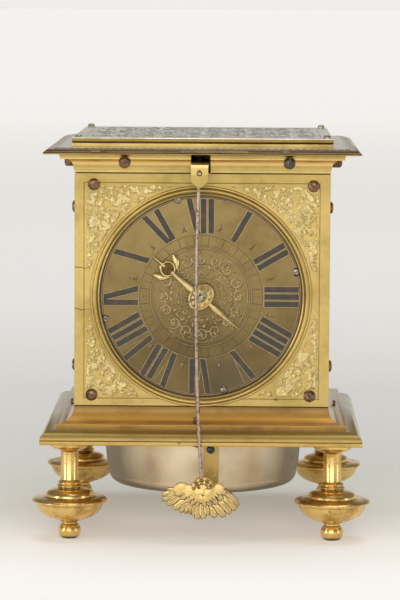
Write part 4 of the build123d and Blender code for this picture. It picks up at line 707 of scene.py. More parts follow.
# %% Strips that meet on the diagonal
def mitred(outer, inner_half, cuts=None):
    """Point (end, k) = (end * distance_k, distance_k, height_k) on each side, with a straight wall behind;
    a cut is (from, to) in front."""
    out, rise = np.asarray(outer, float).T
    loop_out = np.concatenate([out, np.full(len(out), inner_half)])
    loop_rise = np.concatenate([rise, rise[::-1]])
    behind = np.full(len(loop_out), float(inner_half))
    strips = []
    for side in sides:
        spans = [(-1, 1)] if side != "front" or cuts is None else [(-1, cuts[0]), (cuts[1], 1)]
        for low, high in spans:
            rows = []
            for end, first in ((low, True), (high, False)):
                if abs(end) == 1:
                    rows.append((end * loop_out, loop_out))
                else:
                    level_end = np.full(len(loop_out), end)
                    ring, cap = (level_end, loop_out), (level_end, behind)
                    rows += [cap, ring] if first else [ring, cap]
            across, away = (np.stack(q) for q in zip(*rows))
            points = np.stack(on_side(side, across, away, np.broadcast_to(loop_rise, across.shape)), -1)
            strips.append((points, grid_faces(len(rows), len(loop_out), wrap_columns=True)))
    return strips


def bow(start, end, hollow, count=10):
    """A quarter of an oval from start to end: upright at the start if it is hollow, or else at the end."""
    t = np.linspace(0, np.pi / 2, count)
    grow = (1 - np.cos(t), np.sin(t)) if hollow else (np.sin(t), 1 - np.cos(t))
    return [(start[0] + (end[0] - start[0]) * a, start[1] + (end[1] - start[1]) * b) for a, b in zip(*grow)]


# %% The base moulding: ovolo, fillet and cove
base_outer = [
    (77.4, 49.3), (77.9, 49.4), *bow((70.8, 54.4), (78.0, 49.75), hollow=False)[::-1], (70.5, 54.4),
    (70.5, 56.7), (70.3, 56.8), *bow((case_half, 64.4), (68.7, 56.8), hollow=True)[::-1]]
make_piece(
    "base_moulding_strips", mitred(base_outer, 60.45), "base_brass", aged_base, stands_for=["base_moulding"])

# %% The cornice: cove, step, crown and lip, then the rim under the lid
cornice_slot = (-5.5, 3.8)  # mm: from and to, where the bracket comes out
cornice_outer = [(case_half, 178.7), (case_half, 180.0), (62.4, 180.05), (62.4, 180.4),
                 *bow((62.4, 180.4), (66.3, 185.4), hollow=True), (68.6, 185.4), (68.7, 185.5), (68.7, 186.3),
                 *bow((68.7, 186.3), (69.9, 188.0), hollow=True, count=5)]
lip_outer = [
    (69.9, 188.0), (76.1, 188.0), (76.5, 188.2), (76.6, 188.45), (76.3, 189.0), (75.2, 189.75), (73.6, 190.3),
    (71.5, 190.75), (69.0, 191.05), (66.0, 191.2), (63.4, 191.2), (63.2, 191.3), (63.2, 192.85),
    (62.9, 192.95), (62.5, 193.0), (62.5, 193.3)]
make_piece("mitred_cornice", mitred(cornice_outer, 60.5, cornice_slot) + mitred(lip_outer, 60.5),
           "gilt_brass", stands_for=["cornice"])

# %% [markdown]
# ## Four turned feet
#
# Each foot is one casting, turned on the lathe: a ball, a bowl under a thin rim, a cushion, two little rings,
# a column and a spreading flange. One profile carries all of it, close-set where the lathe cut a sharp line.

# %% Turn the feet
foot_profile = [
    (0, 0), (3.6, 0), (4.9, 1.2), (5.5, 2.6), (5.6, 4.0), (5.2, 5.6), (4.3, 6.7), (3.75, 7.2), (3.7, 7.9),
    (4.6, 8.3), (7.5, 9.3), (11.2, 10.8), (13.8, 12.5), (15.4, 14.4), (16.1, 16.0), (16.3, 17.1),
    (16.5, 17.4), (17.7, 17.9), (18.4, 18.4), (18.5, 19.0), (18.1, 19.6), (16.6, 20.1), (14.6, 20.4),
    (12.7, 20.6), (12.0, 20.9), (11.9, 21.6), (11.5, 22.6), (10.4, 23.4), (8.6, 24.0), (6.9, 24.3),
    (5.9, 24.5), (5.6, 24.9), (6.1, 25.4), (6.2, 25.9), (5.7, 26.4), (5.3, 26.7), (5.6, 27.0), (5.7, 27.5),
    (5.2, 28.0), (4.6, 28.4), (4.3, 29.0), (4.3, 42.6), (4.7, 43.0), (5.6, 43.4), (7.4, 44.1), (8.9, 44.9),
    (9.6, 45.7), (9.8, 46.2), (9.8, 47.4), (0, 47.4)]
foot_places = [(x, y, 0) for x in (-64.1, 64.1) for y in (-64.1, 54.1)]
make_piece("turned_feet", [turned(foot_profile, place, axis="z") for place in foot_places],
           "base_brass", foot_brass, stands_for=["feet"])

# %% [markdown]
# ## The pendulum's bracket
#
# The bracket's arm comes out of the dark slot in the cornice, and the pendulum's arbor ends in a sunk ring
# on its tab.

# %% The bracket's arm and ring
smoked = metal(
    "smoked_bracket_brass", (176, 148, 82), (120, 96, 48), 200, 0.8, 0.6, polish=(0.5, 0.7), metallic=0.0,
    dirt_and_shade_amount=0.2)
arm_top = plates([[(-5.2, -79.6), (2.9, -79.6), (2.9, -48), (-5.2, -48)]], 0.0, 0.06, on_top(183.7))
make_piece("bracket_arm_top", [arm_top], "gilt_brass", smoked, smooth=False)
pin_ring = [(0.8, -83.4), (0.85, -83.46), (1.1, -83.48), (1.35, -83.46), (1.4, -83.4)]
make_piece("bracket_pin_ring", [turned(pin_ring, (-1.2, 0, 179.7), steps=36)], "gilt_brass", dark_lines_and_shadows)

# %% [markdown]
# ## The hour hand
#
# The hand was sawn from sheet and filed to a ridge. Its parts are strokes of one family: a leaf tail,
# a neck, a ring, two curled leaves and a point.

# %% Shape the hand
hand_y, shank_y, square_y, pin_y = -63.95, -64.74, -65.85, -66.1  # the hand, its lines, its square, its pin
hand_way = np.radians(310.0)
tipward = np.array([np.sin(hand_way), np.cos(hand_way)])
aside = np.array([np.cos(hand_way), -np.sin(hand_way)])


def on_hand(along, across):
    """Places along and across the hand, as x and z on the clock."""
    along, across = np.broadcast_arrays(np.asarray(along, float), np.asarray(across, float))
    return dial_centre + along[..., None] * tipward + across[..., None] * aside


def softened(row):
    """Each value becomes a weighted mean of itself and its neighbours."""
    return np.convolve(np.pad(row, 2, mode="edge"), [0.1, 0.2, 0.4, 0.2, 0.1], "valid")


def stroke(stations):
    """A smooth stroke through (along, across, half width) stations."""
    stations = np.asarray(stations, float)
    t = np.linspace(0, len(stations) - 1, 26)
    a, b, w = (np.interp(t, np.arange(len(stations)), stations[:, k]) for k in range(3))
    along, across, half = np.append(softened(a)[:-1], a[-1]), softened(b), softened(w)
    along[0], half[0], half[-1] = stations[0, 0], w[0], w[-1]
    return on_hand(along, across)[None], half[None]


hand_strokes = [
    [(-4.5, 0, 0.9), (-6.2, 0, 1.1), (-8.0, 0, 1.6), (-11, 0, 1.55), (-15, 0, 1.2), (-19, 0, 0.8),
     (-22.5, 0, 0.45), (-25.6, 0, 0)],
    [(4.5, 0, 1.75), (7, 0, 1.75), (9.4, 0, 1.6), (12, 0, 1.35), (15, 0, 1.1), (18.8, 0, 0.9)],
    [(23.0, 0, 1.0), (24.2, 0, 0.9), (25.2, 0, 0.65), (26.8, 0, 0.6), (28.6, 0, 0.45), (30.4, 0, 0.2)],
    [(18.0, -2.6, 0.5), (19.2, -4.3, 1.0), (21.0, -5.4, 1.5), (23.0, -6.1, 1.15), (24.6, -6.8, 0.5)],
    [(17.8, 2.7, 0.5), (18.8, 4.3, 1.0), (20.4, 5.4, 1.5), (22.2, 6.2, 1.15), (23.6, 6.9, 0.5)],
    [(23.4, -2.4, 0.3), (24.3, -2.1, 0.6), (25.0, -1.2, 0.4), (25.2, -0.6, 0)],
    [(23.4, 2.4, 0.3), (24.2, 2.7, 0.4), (24.8, 2.2, 0.3), (24.9, 1.6, 0)]]
hand_parts = [strands(*stroke(one), 0.85, on_front(hand_y), sink=0.05, crown=(0, 0.8, 1, 0.8, 0))
              for one in hand_strokes]
ring_x, ring_z = on_hand(21.2, 0.0)
ring_profile = [
    (3.0, -63.9), (3.0, -64.4), (3.2, -64.75), (3.5, -64.8), (3.75, -64.5), (3.85, -64.2), (3.85, -63.9)]
hand_parts.append(turned(ring_profile, (ring_x, 0, ring_z), steps=48))
boss_long, boss_short, petal_count = 7.2, 5.6, 10
a = np.linspace(0, 2 * np.pi, 48, endpoint=False)[:, None]
r = np.array([1, 1, 0.96, 0.9, 0.84, 0.78, 0.72, 0.6, 0.45, 0.42, 0.36, 0.3, 0.15, 0])[None, :]
rise = np.array([0, 0.7, 1.1, 1.25, 1.0, 0.55, 0.65, 1.15, 1.6, 0.95, 0.95, 1.7, 1.85, 1.9])[None, :]
spot = on_hand(boss_short * r * np.cos(a), boss_long * r * np.sin(a))
petal = 0.34 * np.cos(petal_count * a) * np.clip(1 - np.abs(r - 0.62) / 0.2, 0, 1)
points = np.stack([spot[..., 0], hand_y - rise - petal, spot[..., 1]], -1)
hand_parts.append((points, grid_faces(len(a), r.size, wrap_rows=True, wrap_columns=True)))
make_piece("pierced_hour_hand", hand_parts, "hand_brass", stands_for=["hour_hand"], body="hand")
# a dark disc inside the hand's ring paints the shadow on the dial there
ring_shadow_metal = metal(
    "painted_ring_shadow", (122, 88, 38), (52, 32, 10), 700, 1.0, 1.0, pits=1.0, polish=(0.45, 0.6), metallic=0.6)
ring_shadow_profile = [(0, hand_y), (3.1, hand_y), (3.0, -64.12), (0, -64.2)]
make_piece("hand_ring_shadow", [turned(ring_shadow_profile, (ring_x, 0, ring_z), steps=40)],
           "hand_brass", ring_shadow_metal, body="hand")
pin_path = np.linspace((-8.8, 115.0), (-3.2, 117.7), 6)[None]
make_piece("taper_pin", [strands(pin_path, np.linspace(0.25, 0.5, 6), 0.7, on_front(pin_y))],
           "hand_brass", finishes["bright_steel"], body="hand")
shank = np.stack([on_hand(np.linspace(6.5, 18.2, 12), 0.25), on_hand(np.linspace(-24, -7, 12), 0.15)])
make_piece("hand_shank_lines", [strands(shank, 0.13, 0.1, on_front(shank_y), ends=(0, 0), sink=0.2)],
           "hand_brass", dark_lines_and_shadows, body="hand")
square = on_hand([-1.5, -1.5, 1.5, 1.5], [-1.2, 1.2, 1.2, -1.2])
make_piece(
    "hand_square", [plates([square], 0.0, 0.12, on_front(square_y))], "hand_brass",
    metal("dark_hand_square", (84, 62, 58), (48, 36, 30), 500, 0.9, 0.9, polish=(0.4, 0.6), metallic=0.7),
    body="hand", smooth=False)

# %% [markdown]
# ## The dial's numerals
#
# The hours were cut with a broad graver and filled with black wax, so the thick strokes read as dark bars
# with pale burnished edges. Each bar is a thin plate: a pale one below, and a dark inlay, a little smaller,
# on top.

# %% Places on the dial
def dial_point(radius, angle):
    """A place on the dial from its radius in mm and its clock angle in degrees."""
    radius, angle = np.broadcast_arrays(np.asarray(radius, float), np.radians(np.asarray(angle, float)))
    return dial_centre + np.stack([radius * np.sin(angle), radius * np.cos(angle)], -1)


def outwards(angle):
    """The heading away from the dial's middle at a clock angle in degrees, for strokes()."""
    return np.pi / 2 - np.radians(angle)


# hour: places of I, V and X across the numeral, in mm
numeral_plan = {
    1: "I-0.2", 2: "I-1.8 I1.8", 3: "I-3.6 I0 I3.6", 4: "I-5.4 I-1.8 I1.8 I5.4", 5: "V0", 6: "V-1.2 I4.2",
    7: "V-3.3 I1.9 I5.6", 8: "V-5.6 I-0.4 I3.5 I7.3", 9: "I-3.1 X1.5", 10: "X0", 11: "X-2.8 I1.9",
    12: "X-4.0 I1.0 I4.7"}
thick = {"I": (0, 0), "V": (-2.5, 0.3), "X": (-2.1, 2.1)}  # how far a bar's outer and inner ends stand aside
thin = {"V": (2.6, 0.9), "X": (2.5, -2.5)}
bars, hairs = [], []
for hour, plan in numeral_plan.items():
    for glyph in plan.split():
        for rows, offsets in ((bars, thick), (hairs, thin)):
            if glyph[0] in offsets:
                far, near = offsets[glyph[0]]
                rows.append((hour, float(glyph[1:]) + far, float(glyph[1:]) + near))


def numeral_plates(rows, half, high, low, bottom, top):
    """One plate for each bar: its outer and inner ends, moved half its width each way across the numeral."""
    hour, far, near = np.asarray(rows, float).T
    angle = np.radians(30 * hour)
    up, right = np.stack([np.sin(angle), np.cos(angle)], -1), np.stack([np.cos(angle), -np.sin(angle)], -1)
    corners = [dial_centre + up * radius + right * (place + sign * half)[:, None]
               for place, radius, sign in ((far, high, -1), (far, high, 1), (near, low, 1), (near, low, -1))]
    return plates(np.stack(corners, 1), bottom, top, dial_face)


# black wax of the numerals; the same finish paints engraving shadows and the shade inside the bezel
wax_and_shadows = metal(
    "black_wax_and_painted_shadows", (70, 68, 56), (108, 84, 76), 220, 1.0, 1.0, bright=(112, 98, 84), polish=(0.45, 0.7),
    metallic=0.25, dirt_and_shade_amount=0.3)
pale_edge = metal(
    "pale_numeral_edges", (206, 190, 142), (156, 136, 92), 300, 0.5, 0.5, bright=(230, 216, 172),
    dirt_and_shade_amount=0.1)
burnished = metal(
    "burnished_dial_edges", (198, 174, 128), (150, 122, 78), 200, 0.5, 0.4, bright=(214, 192, 140),
    dirt_and_shade_amount=0.2)
make_piece(
    "numeral_edges",
    [numeral_plates(bars, 1.57, 47.6, 30.5, -0.1, 0.05), numeral_plates(hairs, 0.17, 47.2, 30.9, -0.1, 0.06)],
    "dial_brass", pale_edge, smooth=False)
make_piece(
    "hour_numerals",
    [numeral_plates(bars, 1.4, 47.45, 30.65, 0.0, 0.09), numeral_plates(hairs, 0.07, 47.1, 31.0, 0.0, 0.075)],
    "dial_brass", wax_and_shadows, smooth=False)

# %% [markdown]
# ## Rings, quarter marks and little flowers
#
# Compasses cut the rings; short radial strokes divide the hours into quarters, and a small
# flower stands between the numerals at every half hour.

# %% The engraved rings of the dial
def ring_line(radius, half, rise):
    """A thin ridge turned about the dial's axis."""
    foot, top = dial_y + 0.05, dial_y - rise
    return turned([(radius - half, foot), (radius - half * 0.5, top), (radius + half * 0.5, top),
                   (radius + half, foot)], dial_axis, steps=120)


dark_rings = [ring_line(radius, 0.13, 0.05) for radius in (29.9, 25.1, 24.2, 23.0, 15.8, 9.2, 48.1)]
bright_rings = [ring_line(radius, 0.14, 0.06) for radius in (30.3, 24.65, 22.6, 9.6, 47.75)]
# the dark ring at 48.95 mm is painted shade where the bezel meets the dial
make_piece("dial_rings", dark_rings + [ring_line(48.95, 0.3, 0.12)], "dial_brass", wax_and_shadows)
make_piece(
    "dial_edge_ring", [ring_line(48.5, 0.4, 0.04)], "dial_brass",
    metal("rosy_dial_edge", (170, 142, 112), (132, 104, 84), 60, 0.7, 0.5, polish=(0.35, 0.5)))
make_piece("bright_dial_rings", bright_rings, "dial_brass", burnished)
quarter = 7.5 * np.arange(48)
boldness = np.where(np.arange(48) % 2 == 1, 1.0, 0.45)[:, None]
outer_ends, inner_ends = dial_point(29.8, quarter)[:, None], dial_point(25.2, quarter)[:, None]
share = np.linspace(0, 1, 4)[None, :, None]
quarter_paths = outer_ends * (1 - share) + inner_ends * share
make_piece("quarter_marks", [strands(quarter_paths, 0.13 * boldness, 0.06, dial_face, ends=(0.6, 0.6),
                                     crown=sharp_back)], "dial_brass", wax_and_shadows)


# %% Strokes that bend evenly as they go
def strokes(start, heading, length, bend, count, tighten=0.0):
    """Path(t) = start + length * running sum of (cos, sin)(heading + bend * s), with steps that shrink
    by 1 - tighten * t. Heading, length and bend are one number for all strokes or one for each."""
    t = np.linspace(0, 1, count)
    step = (1 - tighten * t)[None, :]
    step = step / step.sum(1, keepdims=True)
    start, heading, length, bend = (np.asarray(q, float) for q in np.broadcast_arrays(
        np.asarray(start, float), *[np.asarray(q, float)[..., None] for q in (heading, length, bend)]))
    angle = heading[:, :1] + bend[:, :1] * t
    move = length[:, :1, None] * (step[..., None] * np.stack([np.cos(angle), np.sin(angle)], -1))
    return start[:, None, :] + np.cumsum(move, 1) - move[:, :1]


half_hours = 15 + 30 * np.arange(12)
flower_at, way = dial_point(33.4, half_hours), outwards(half_hours)
petal_shapes = [(0, 4.2, 0), (0.75, 2.6, -1.2), (-0.75, 2.6, 1.2), (2.6, 1.6, -1.0), (-2.6, 1.6, 1.0)]
petals = np.concatenate([strokes(flower_at, way + lean, reach, bend, count=8)
                         for lean, reach, bend in petal_shapes])
make_piece("half_hour_flowers", [strands(petals, 0.17, 0.08, dial_face, ends=(0, 0))],
           "dial_brass", burnished)
make_piece("half_hour_shadows", [strands(petals + [0.24, -0.26], 0.24, 0.05, dial_face, ends=(0, 0))],
           "dial_brass", wax_and_shadows)

# %% [markdown]
# ## Scrolls in the middle of the dial
#
# The middle is filled with plain scrollwork of the kind every engraver knew: a ring of curls with small
# leaves, and short rays round the hand's boss.

# %% Curls, leaves and rays
curl_angles = np.linspace(0, 360, 16, endpoint=False)
hand_of = np.where(np.arange(16) % 2 == 0, 1.0, -1.0)
curls = strokes(
    dial_point(21.4, curl_angles), outwards(curl_angles) + np.pi / 2 * hand_of, 15.0, hand_of * 7.2, count=30,
    tighten=0.75)
leaf_rings = [(20.6, 2.2, 3.4), (19.0, 1.6, 3.0), (17.2, 0.9, 3.2), (13.8, 0.5, 3.6), (13.2, -0.6, 3.2),
              (12.0, 1.4, 2.8), (11.0, -1.8, 2.4)]  # radius, lean and length of the leaves
leaf_rows = []
for k, (radius, lean, reach) in enumerate(leaf_rings):
    angles = curl_angles + 4.0 * k
    leaf_rows.append(
        strokes(dial_point(radius, angles), outwards(angles) + lean * hand_of, reach, 1.6 * hand_of, count=8))
dial_leaves = np.concatenate(leaf_rows)
pick = np.random.default_rng(31)
flick_count, bright_flicks = 420, 300
spots = dial_point(np.sqrt(pick.uniform(9.8**2, 22.4**2, flick_count)), pick.uniform(0, 360, flick_count))
turn_to = np.arctan2(spots[:, 1] - dial_centre[1], spots[:, 0] - dial_centre[0])
turn_to = turn_to + pick.choice([1.1, 2.1, -1.1, -2.1], flick_count)
flicks = strokes(
    spots, turn_to, pick.uniform(1.2, 2.6, flick_count), pick.uniform(-2.2, 2.2, flick_count), count=7)
ray_angles = 12 * np.arange(30)
rays = strokes(dial_point(6.6, ray_angles), outwards(ray_angles), 1.9, 0, count=5)
make_piece("dial_scrolls", [
    strands(curls, 0.34, 0.13, dial_face, ends=(0.5, 0.2)),
    strands(dial_leaves, 0.36, 0.13, dial_face, ends=(0, 0)),
    strands(flicks[:bright_flicks], 0.15, 0.07, dial_face, ends=(0, 0)),
], "dial_brass", burnished)
make_piece("dial_scroll_shadows", [
    strands(curls + [0.3, -0.3], 0.2, 0.03, dial_face, ends=(0.5, 0.2)),
    strands(dial_leaves + [0.26, -0.3], 0.2, 0.03, dial_face, ends=(0, 0)),
    strands(flicks[bright_flicks:], 0.13, 0.03, dial_face, ends=(0, 0)),
    strands(rays, 0.16, 0.05, dial_face, ends=(0.8, 0.1), crown=sharp_back),
], "dial_brass", wax_and_shadows)

# %% [markdown]
# ## Foliage in the corners of the front
#
# Round the dial the panel is engraved with swirling leaves. Strokes are seeded in each corner
# and follow circles round six curl centres, as an engraver's hand does when it fills a field.

# %% Swirls that fill a corner
seed_count = 560
leaf_splay = np.array([-0.6, -0.3, 0.0, 0.3, 0.6])  # radians between the strokes of one leaf
curl_centres = np.array([[10.5, 10.5], [23.5, 5.0], [5.0, 23.5], [17.5, 17.0], [33.0, 2.6], [2.6, 33.0]])
curl_sizes = np.array([7.5, 4.6, 4.6, 4.0, 2.4, 2.4])
curl_spins = np.array([1, -1, -1, -1, 1, 1])
bezel_clear, screw_clear = 54.9, 3.6  # mm


def round_centre(seeds, centres, spins):
    """How far each seed is from its curl centre, and a function from lean to the heading round it."""
    offset = seeds - centres
    outward = np.arctan2(offset[:, 1], offset[:, 0])
    return np.linalg.norm(offset, axis=1), lambda lean: outward + spins * lean


def corner_strokes(sign_x, sign_z, seed):
    """Each seed opens a leaf of five strokes that turns about its nearest curl centre; strokes that leave
    the field are dropped."""
    pick = np.random.default_rng(seed)
    seeds = pick.uniform(0.6, 42, (seed_count, 2))
    gap = np.linalg.norm(seeds[:, None] - curl_centres, axis=2) / curl_sizes
    near = gap.argmin(1)
    spin = curl_spins[near]
    distance, going_round = round_centre(seeds, curl_centres[near], spin)
    heading = going_round(np.pi / 2 - 0.7 + pick.normal(0, 0.3, seed_count))
    reach = pick.uniform(2.4, 5.0, seed_count)
    bend = spin * reach / np.maximum(distance, 1.4) * 0.9
    splay = np.tile(leaf_splay, seed_count)
    rows = (seeds, heading, reach, bend)
    seeds, heading, reach, bend = (np.repeat(row, len(leaf_splay), axis=0) for row in rows)
    reach = reach * (1 - 0.5 * np.abs(splay))
    paths = strokes(seeds, heading + splay, reach, bend + 0.7 * splay, count=9)
    x = -56.5 + paths[..., 0] if sign_x < 0 else 56.6 - paths[..., 0]
    z = (172.9 if sign_z > 0 else 69.4) - sign_z * paths[..., 1]
    from_dial = np.hypot(x - dial_centre[0], z - dial_centre[1]).min(1)
    from_screw = np.hypot(np.abs(x) - 53.2, z - (172.9 if sign_z > 0 else 70.2)).min(1)
    keep = (from_dial > bezel_clear) & (paths.min((1, 2)) > 0.1) & (from_screw > screw_clear)
    return np.stack([x, z], -1)[keep]


corners = [(-1, 1), (1, 1), (-1, -1), (1, -1)]
foliage = np.concatenate([corner_strokes(*corner, seed=11 + 3 * k) for k, corner in enumerate(corners)])
width = np.random.default_rng(5).uniform(0.14, 0.3, len(foliage))[:, None]
chased_shadow = metal(
    "chased_shadow_brass", (158, 130, 70), (120, 94, 44), 200, 0.6, 0.5, polish=(0.4, 0.6), dirt_and_shade_amount=0.4)
shadows = strands(foliage[::2] + [0.26, -0.26], 0.7 * width[::2], 0.06, panel_face, ends=(0.1, 0))
make_piece("corner_foliage", [strands(foliage, width, 0.2, panel_face, ends=(0.1, 0))], "gilt_brass", lustre)
make_piece("corner_foliage_shadows", [shadows], "gilt_brass", chased_shadow)
print("foliage strokes:", len(foliage))

# %% Border lines, painted shadow lines and two old cracks
def frame_line(x0, x1, z0, z1, half, rise, face):
    """Four straight strokes round a rectangle."""
    corners = np.array([[x0, z0], [x1, z0], [x1, z1], [x0, z1]], float)
    t = np.linspace(0, 1, 6)[None, :, None]
    paths = corners[:, None] * (1 - t) + np.roll(corners, -1, 0)[:, None] * t
    return strands(paths, half, rise, face, crown=sharp_back)


def line_across(x0, x1, z):
    """Twelve points from x0 to x1, at one height or at twelve."""
    return pairs(np.linspace(x0, x1, 12), z)


def crack(x1, z, seed):
    """A line in from the left edge that wanders up and down."""
    return line_across(-61.9, x1, z + np.cumsum(np.random.default_rng(seed).normal(0, 0.16, 12)))


make_piece("border_lines", [frame_line(-57.2, 56.8, 68.7, 173.6, 0.16, 0.1, panel_face)], "gilt_brass")
# painted shadow lines under the cornice and where the front meets the base moulding
seam_shadows = np.stack(
    [line_across(-61.2, -5.6, 178.42), line_across(3.9, 61.8, 178.42), line_across(-61.9, 61.9, 64.78)])
cracks = np.stack([crack(-54.2, 132.6, 3), crack(-54.6, 112.9, 8)])
make_piece("shadow_lines_and_cracks", [
    strands(seam_shadows, 0.27, 0.05, panel_face, crown=sharp_back),
    # a painted shadow line under the lid's edge
    strands(line_across(0.0, 63.0, 193.1)[None], 0.2, 0.03, on_front(-63.2), crown=sharp_back),
    # a painted shadow beside the border line
    frame_line(-57.5, 57.1, 68.4, 173.9, 0.06, 0.04, panel_face),
    strands(cracks, 0.17, 0.05, panel_face, ends=(0.9, 0.5)),
], "gilt_brass", dark_lines_and_shadows)

# %% [markdown]
# ## Leaves on the cornice and scrolls on the lid
#
# The sloping top of the cornice carries a band of cut leaves on all four sides, and the pale lid plate
# is covered with plain scrollwork.

# %% A band of leaves on the cornice slope
band_out = np.array([63.5, 66.0, 69.0, 71.5, 73.6, 75.2, 76.3, 76.6])
band_high = np.array([191.2, 191.2, 191.05, 190.75, 190.3, 189.75, 189.0, 188.45])


def on_slope(side):
    """(across, out, height) on the cornice's rounded slope, from its lip in to the rim under the lid."""
    way = np.array(on_side(side, 1, 0, 0), float)
    forth = np.array(facing[side], float)

    def face(across, out, high):
        """The height is the slope's own at that distance out, plus high."""
        across, out, high = np.broadcast_arrays(across, out, high)
        z = np.interp(out, band_out, band_high) + high
        return across[..., None] * way + out[..., None] * forth + z[..., None] * np.array([0, 0, 1.0])
    return face


band_section = [(76.2, 188.2), *pairs(band_out[:0:-1], band_high[:0:-1] + 0.05).tolist(), (63.6, 191.25)]
leaf_places = np.linspace(-70, 70, 41)
slope_leaves, slope_shadows = [], []
for side in sides:
    for lean, reach, bend, foot in ((0, 9.0, 0, 75.8), (0.5, 8.0, -0.9, 75.4), (-0.5, 8.0, 0.9, 75.4),
                                    (1.05, 5.4, -1.7, 74.6), (-1.05, 5.4, 1.7, 74.6)):
        for family, shift, share, half, rise in ((slope_leaves, (0, 0), 1.0, 0.42, 0.09),
                                                 (slope_shadows, (0.75, 0.2), 0.8, 0.22, 0.03)):
            paths = strokes(pairs(leaf_places, foot) + shift, -np.pi / 2 + lean, share * reach, bend, count=8)
            family.append(strands(paths, half, rise, on_slope(side), ends=(0.3, 0.1)))
hatch_places = np.concatenate([np.linspace(-9, 22, 22), [-52, -50.6, -49.2, 40, 41.5]])
hatches = strokes(pairs(hatch_places, 75.9), -2.3, 3.4, 0, count=5)
dark_gilt = metal(
    "dark_leaf_gilt", (104, 80, 38), (70, 50, 22), 60, 0.9, 0.6, pits=0.5, bright=(176, 144, 84), wear=0.3,
    dirt_and_shade_amount=0.9, polish=(0.34, 0.54), lacquer=0.4)
leaf_gilt = metal(
    "leaf_edge_gilt", (164, 130, 70), (104, 76, 34), 140, 0.8, 0.6, bright=(206, 172, 104), dirt_and_shade_amount=0.9,
    reach=0.8, polish=(0.28, 0.46), lacquer=0.7)
tint(dark_gilt, grazing_painted_sheen)
tint(leaf_gilt, grazing_painted_sheen)
make_piece("cornice_leaf_shadows", slope_shadows, "gilt_brass", dark_lines_and_shadows)
make_piece("cornice_band", mitred(band_section, 63.0), "gilt_brass", dark_gilt)
make_piece("cornice_leaves", slope_leaves, "gilt_brass", leaf_gilt)
make_piece("slot_hatching", [strands(hatches, 0.24, 0.12, on_slope("front"), ends=(0.6, 0.2))],
           "gilt_brass", lustre)

# %% Scrolls on the lid
lid_face = on_top(lid_top)
lid_grid = pairs(*np.meshgrid(np.linspace(-44, 44, 5), np.linspace(-44, 44, 5))).reshape(-1, 2)
lid_spin = np.where(np.arange(len(lid_grid)) % 2 == 0, 1.0, -1.0)
lid_curls = strokes(lid_grid + [0, -8.6], np.where(lid_spin > 0, 0.0, np.pi), 62.0, 10.5 * lid_spin,
                    count=44, tighten=0.72)
pick = np.random.default_rng(21)
leaf_count = 1500
seeds = pick.uniform(-54, 54, (leaf_count, 2))
near = np.linalg.norm(seeds[:, None] - lid_grid, axis=2).argmin(1)
distance, going_round = round_centre(seeds, lid_grid[near], lid_spin[near])
reach = pick.uniform(2.4, 5.2, leaf_count)
heading = going_round(np.pi / 2 - 0.6 + pick.normal(0, 0.2, leaf_count))
lid_leaves = strokes(seeds, heading, reach, lid_spin[near] * reach / np.maximum(distance, 1.5), count=7)
lid_leaves = lid_leaves[np.abs(lid_leaves).max((1, 2)) < 55.5]
silver_bright = metal(
    "bright_lid_strokes", (222, 219, 208), (176, 170, 150), 120, 0.4, 0.3, bright=(250, 248, 240),
    dirt_and_shade_amount=0.2)
silver_dark = metal(
    "dark_lid_strokes", (168, 162, 148), (122, 116, 104), 120, 0.6, 0.4, polish=(0.4, 0.6), metallic=0.6,
    dirt_and_shade_amount=0.3)
make_piece("lid_scrolls", [
    strands(lid_curls, 0.5, 0.2, lid_face, ends=(0.4, 0.2)),
    strands(lid_leaves, 0.36, 0.18, lid_face, ends=(0, 0)),
], "lid_plate", silver_bright)
make_piece("lid_scroll_shadows", [
    strands(lid_curls + [0.5, -0.5], 0.3, 0.05, lid_face, ends=(0.4, 0.2)),
    strands(lid_leaves + [0.34, -0.4], 0.24, 0.05, lid_face, ends=(0, 0)),
    frame_line(-57.4, 57.4, -57.4, 57.4, 0.16, 0.05, lid_face),
], "lid_plate", silver_dark)

# %% [markdown]
# ## The bob: a winged head
#
# The bob is a flat casting, chased with feathers: long flight feathers round the edge, short ones over
# their roots, and a child's head with curls in the middle. Each feather is a stroke with a raised shaft.

# %% Feathers
def feather_lines(rows, t):
    """The bowed middle line of each feather at shares t of its length, its chord, side and half width:
    line(t) = root * (1 - t) + tip * t + 4 * t * (1 - t) * bow * side."""
    root, tip, half, bend = rows[:, None, 0:2], rows[:, None, 2:4], rows[:, None, 4], rows[:, 5:]
    chord = tip - root
    side = np.stack([-chord[..., 1], chord[..., 0]], -1)
    t = t[None, :, None]
    return root * (1 - t) + tip * t + 4 * t * (1 - t) * side * bend[..., None], chord, side, half


def feather_outline(t):
    """Share of the full width along a feather: narrow at the root, blunt at the tip."""
    return np.minimum(1, 0.55 + 0.9 * t) * np.sqrt(np.clip(1 - t**5, 0, 1))


def feathers(rows, rise, base, under):
    """Strokes from root to tip; the section has a raised shaft, rounded vanes and a flat back under mm
    behind the face."""
    t = np.linspace(0, 1, 18)
    paths, _, _, half = feather_lines(rows, t)
    across = np.array([-1, -0.62, -0.12, 0, 0.12, 0.62, 1, 0.85, -0.85])
    up = np.array([0.25, 0.75, 0.7, 1, 0.7, 0.75, 0.25, 0, 0]) * rise
    up = up[None, None, :] * np.sqrt(np.clip(1 - t**8, 0, 1))[None, :, None] - under * (np.arange(9) > 6)
    widths = half * feather_outline(t)
    flat = paths[:, :, None] + sideways(paths)[:, :, None] * (widths[..., None] * across)[..., None]
    points = on_front(base)(flat[..., 0], flat[..., 1], up)
    ends = points.mean(2, keepdims=True)
    points[:, :1] = ends[:, :1]
    points[:, -1:] = ends[:, -1:]
    return points, grid_faces(len(t), len(across), wrap_columns=True, copies=len(rows))


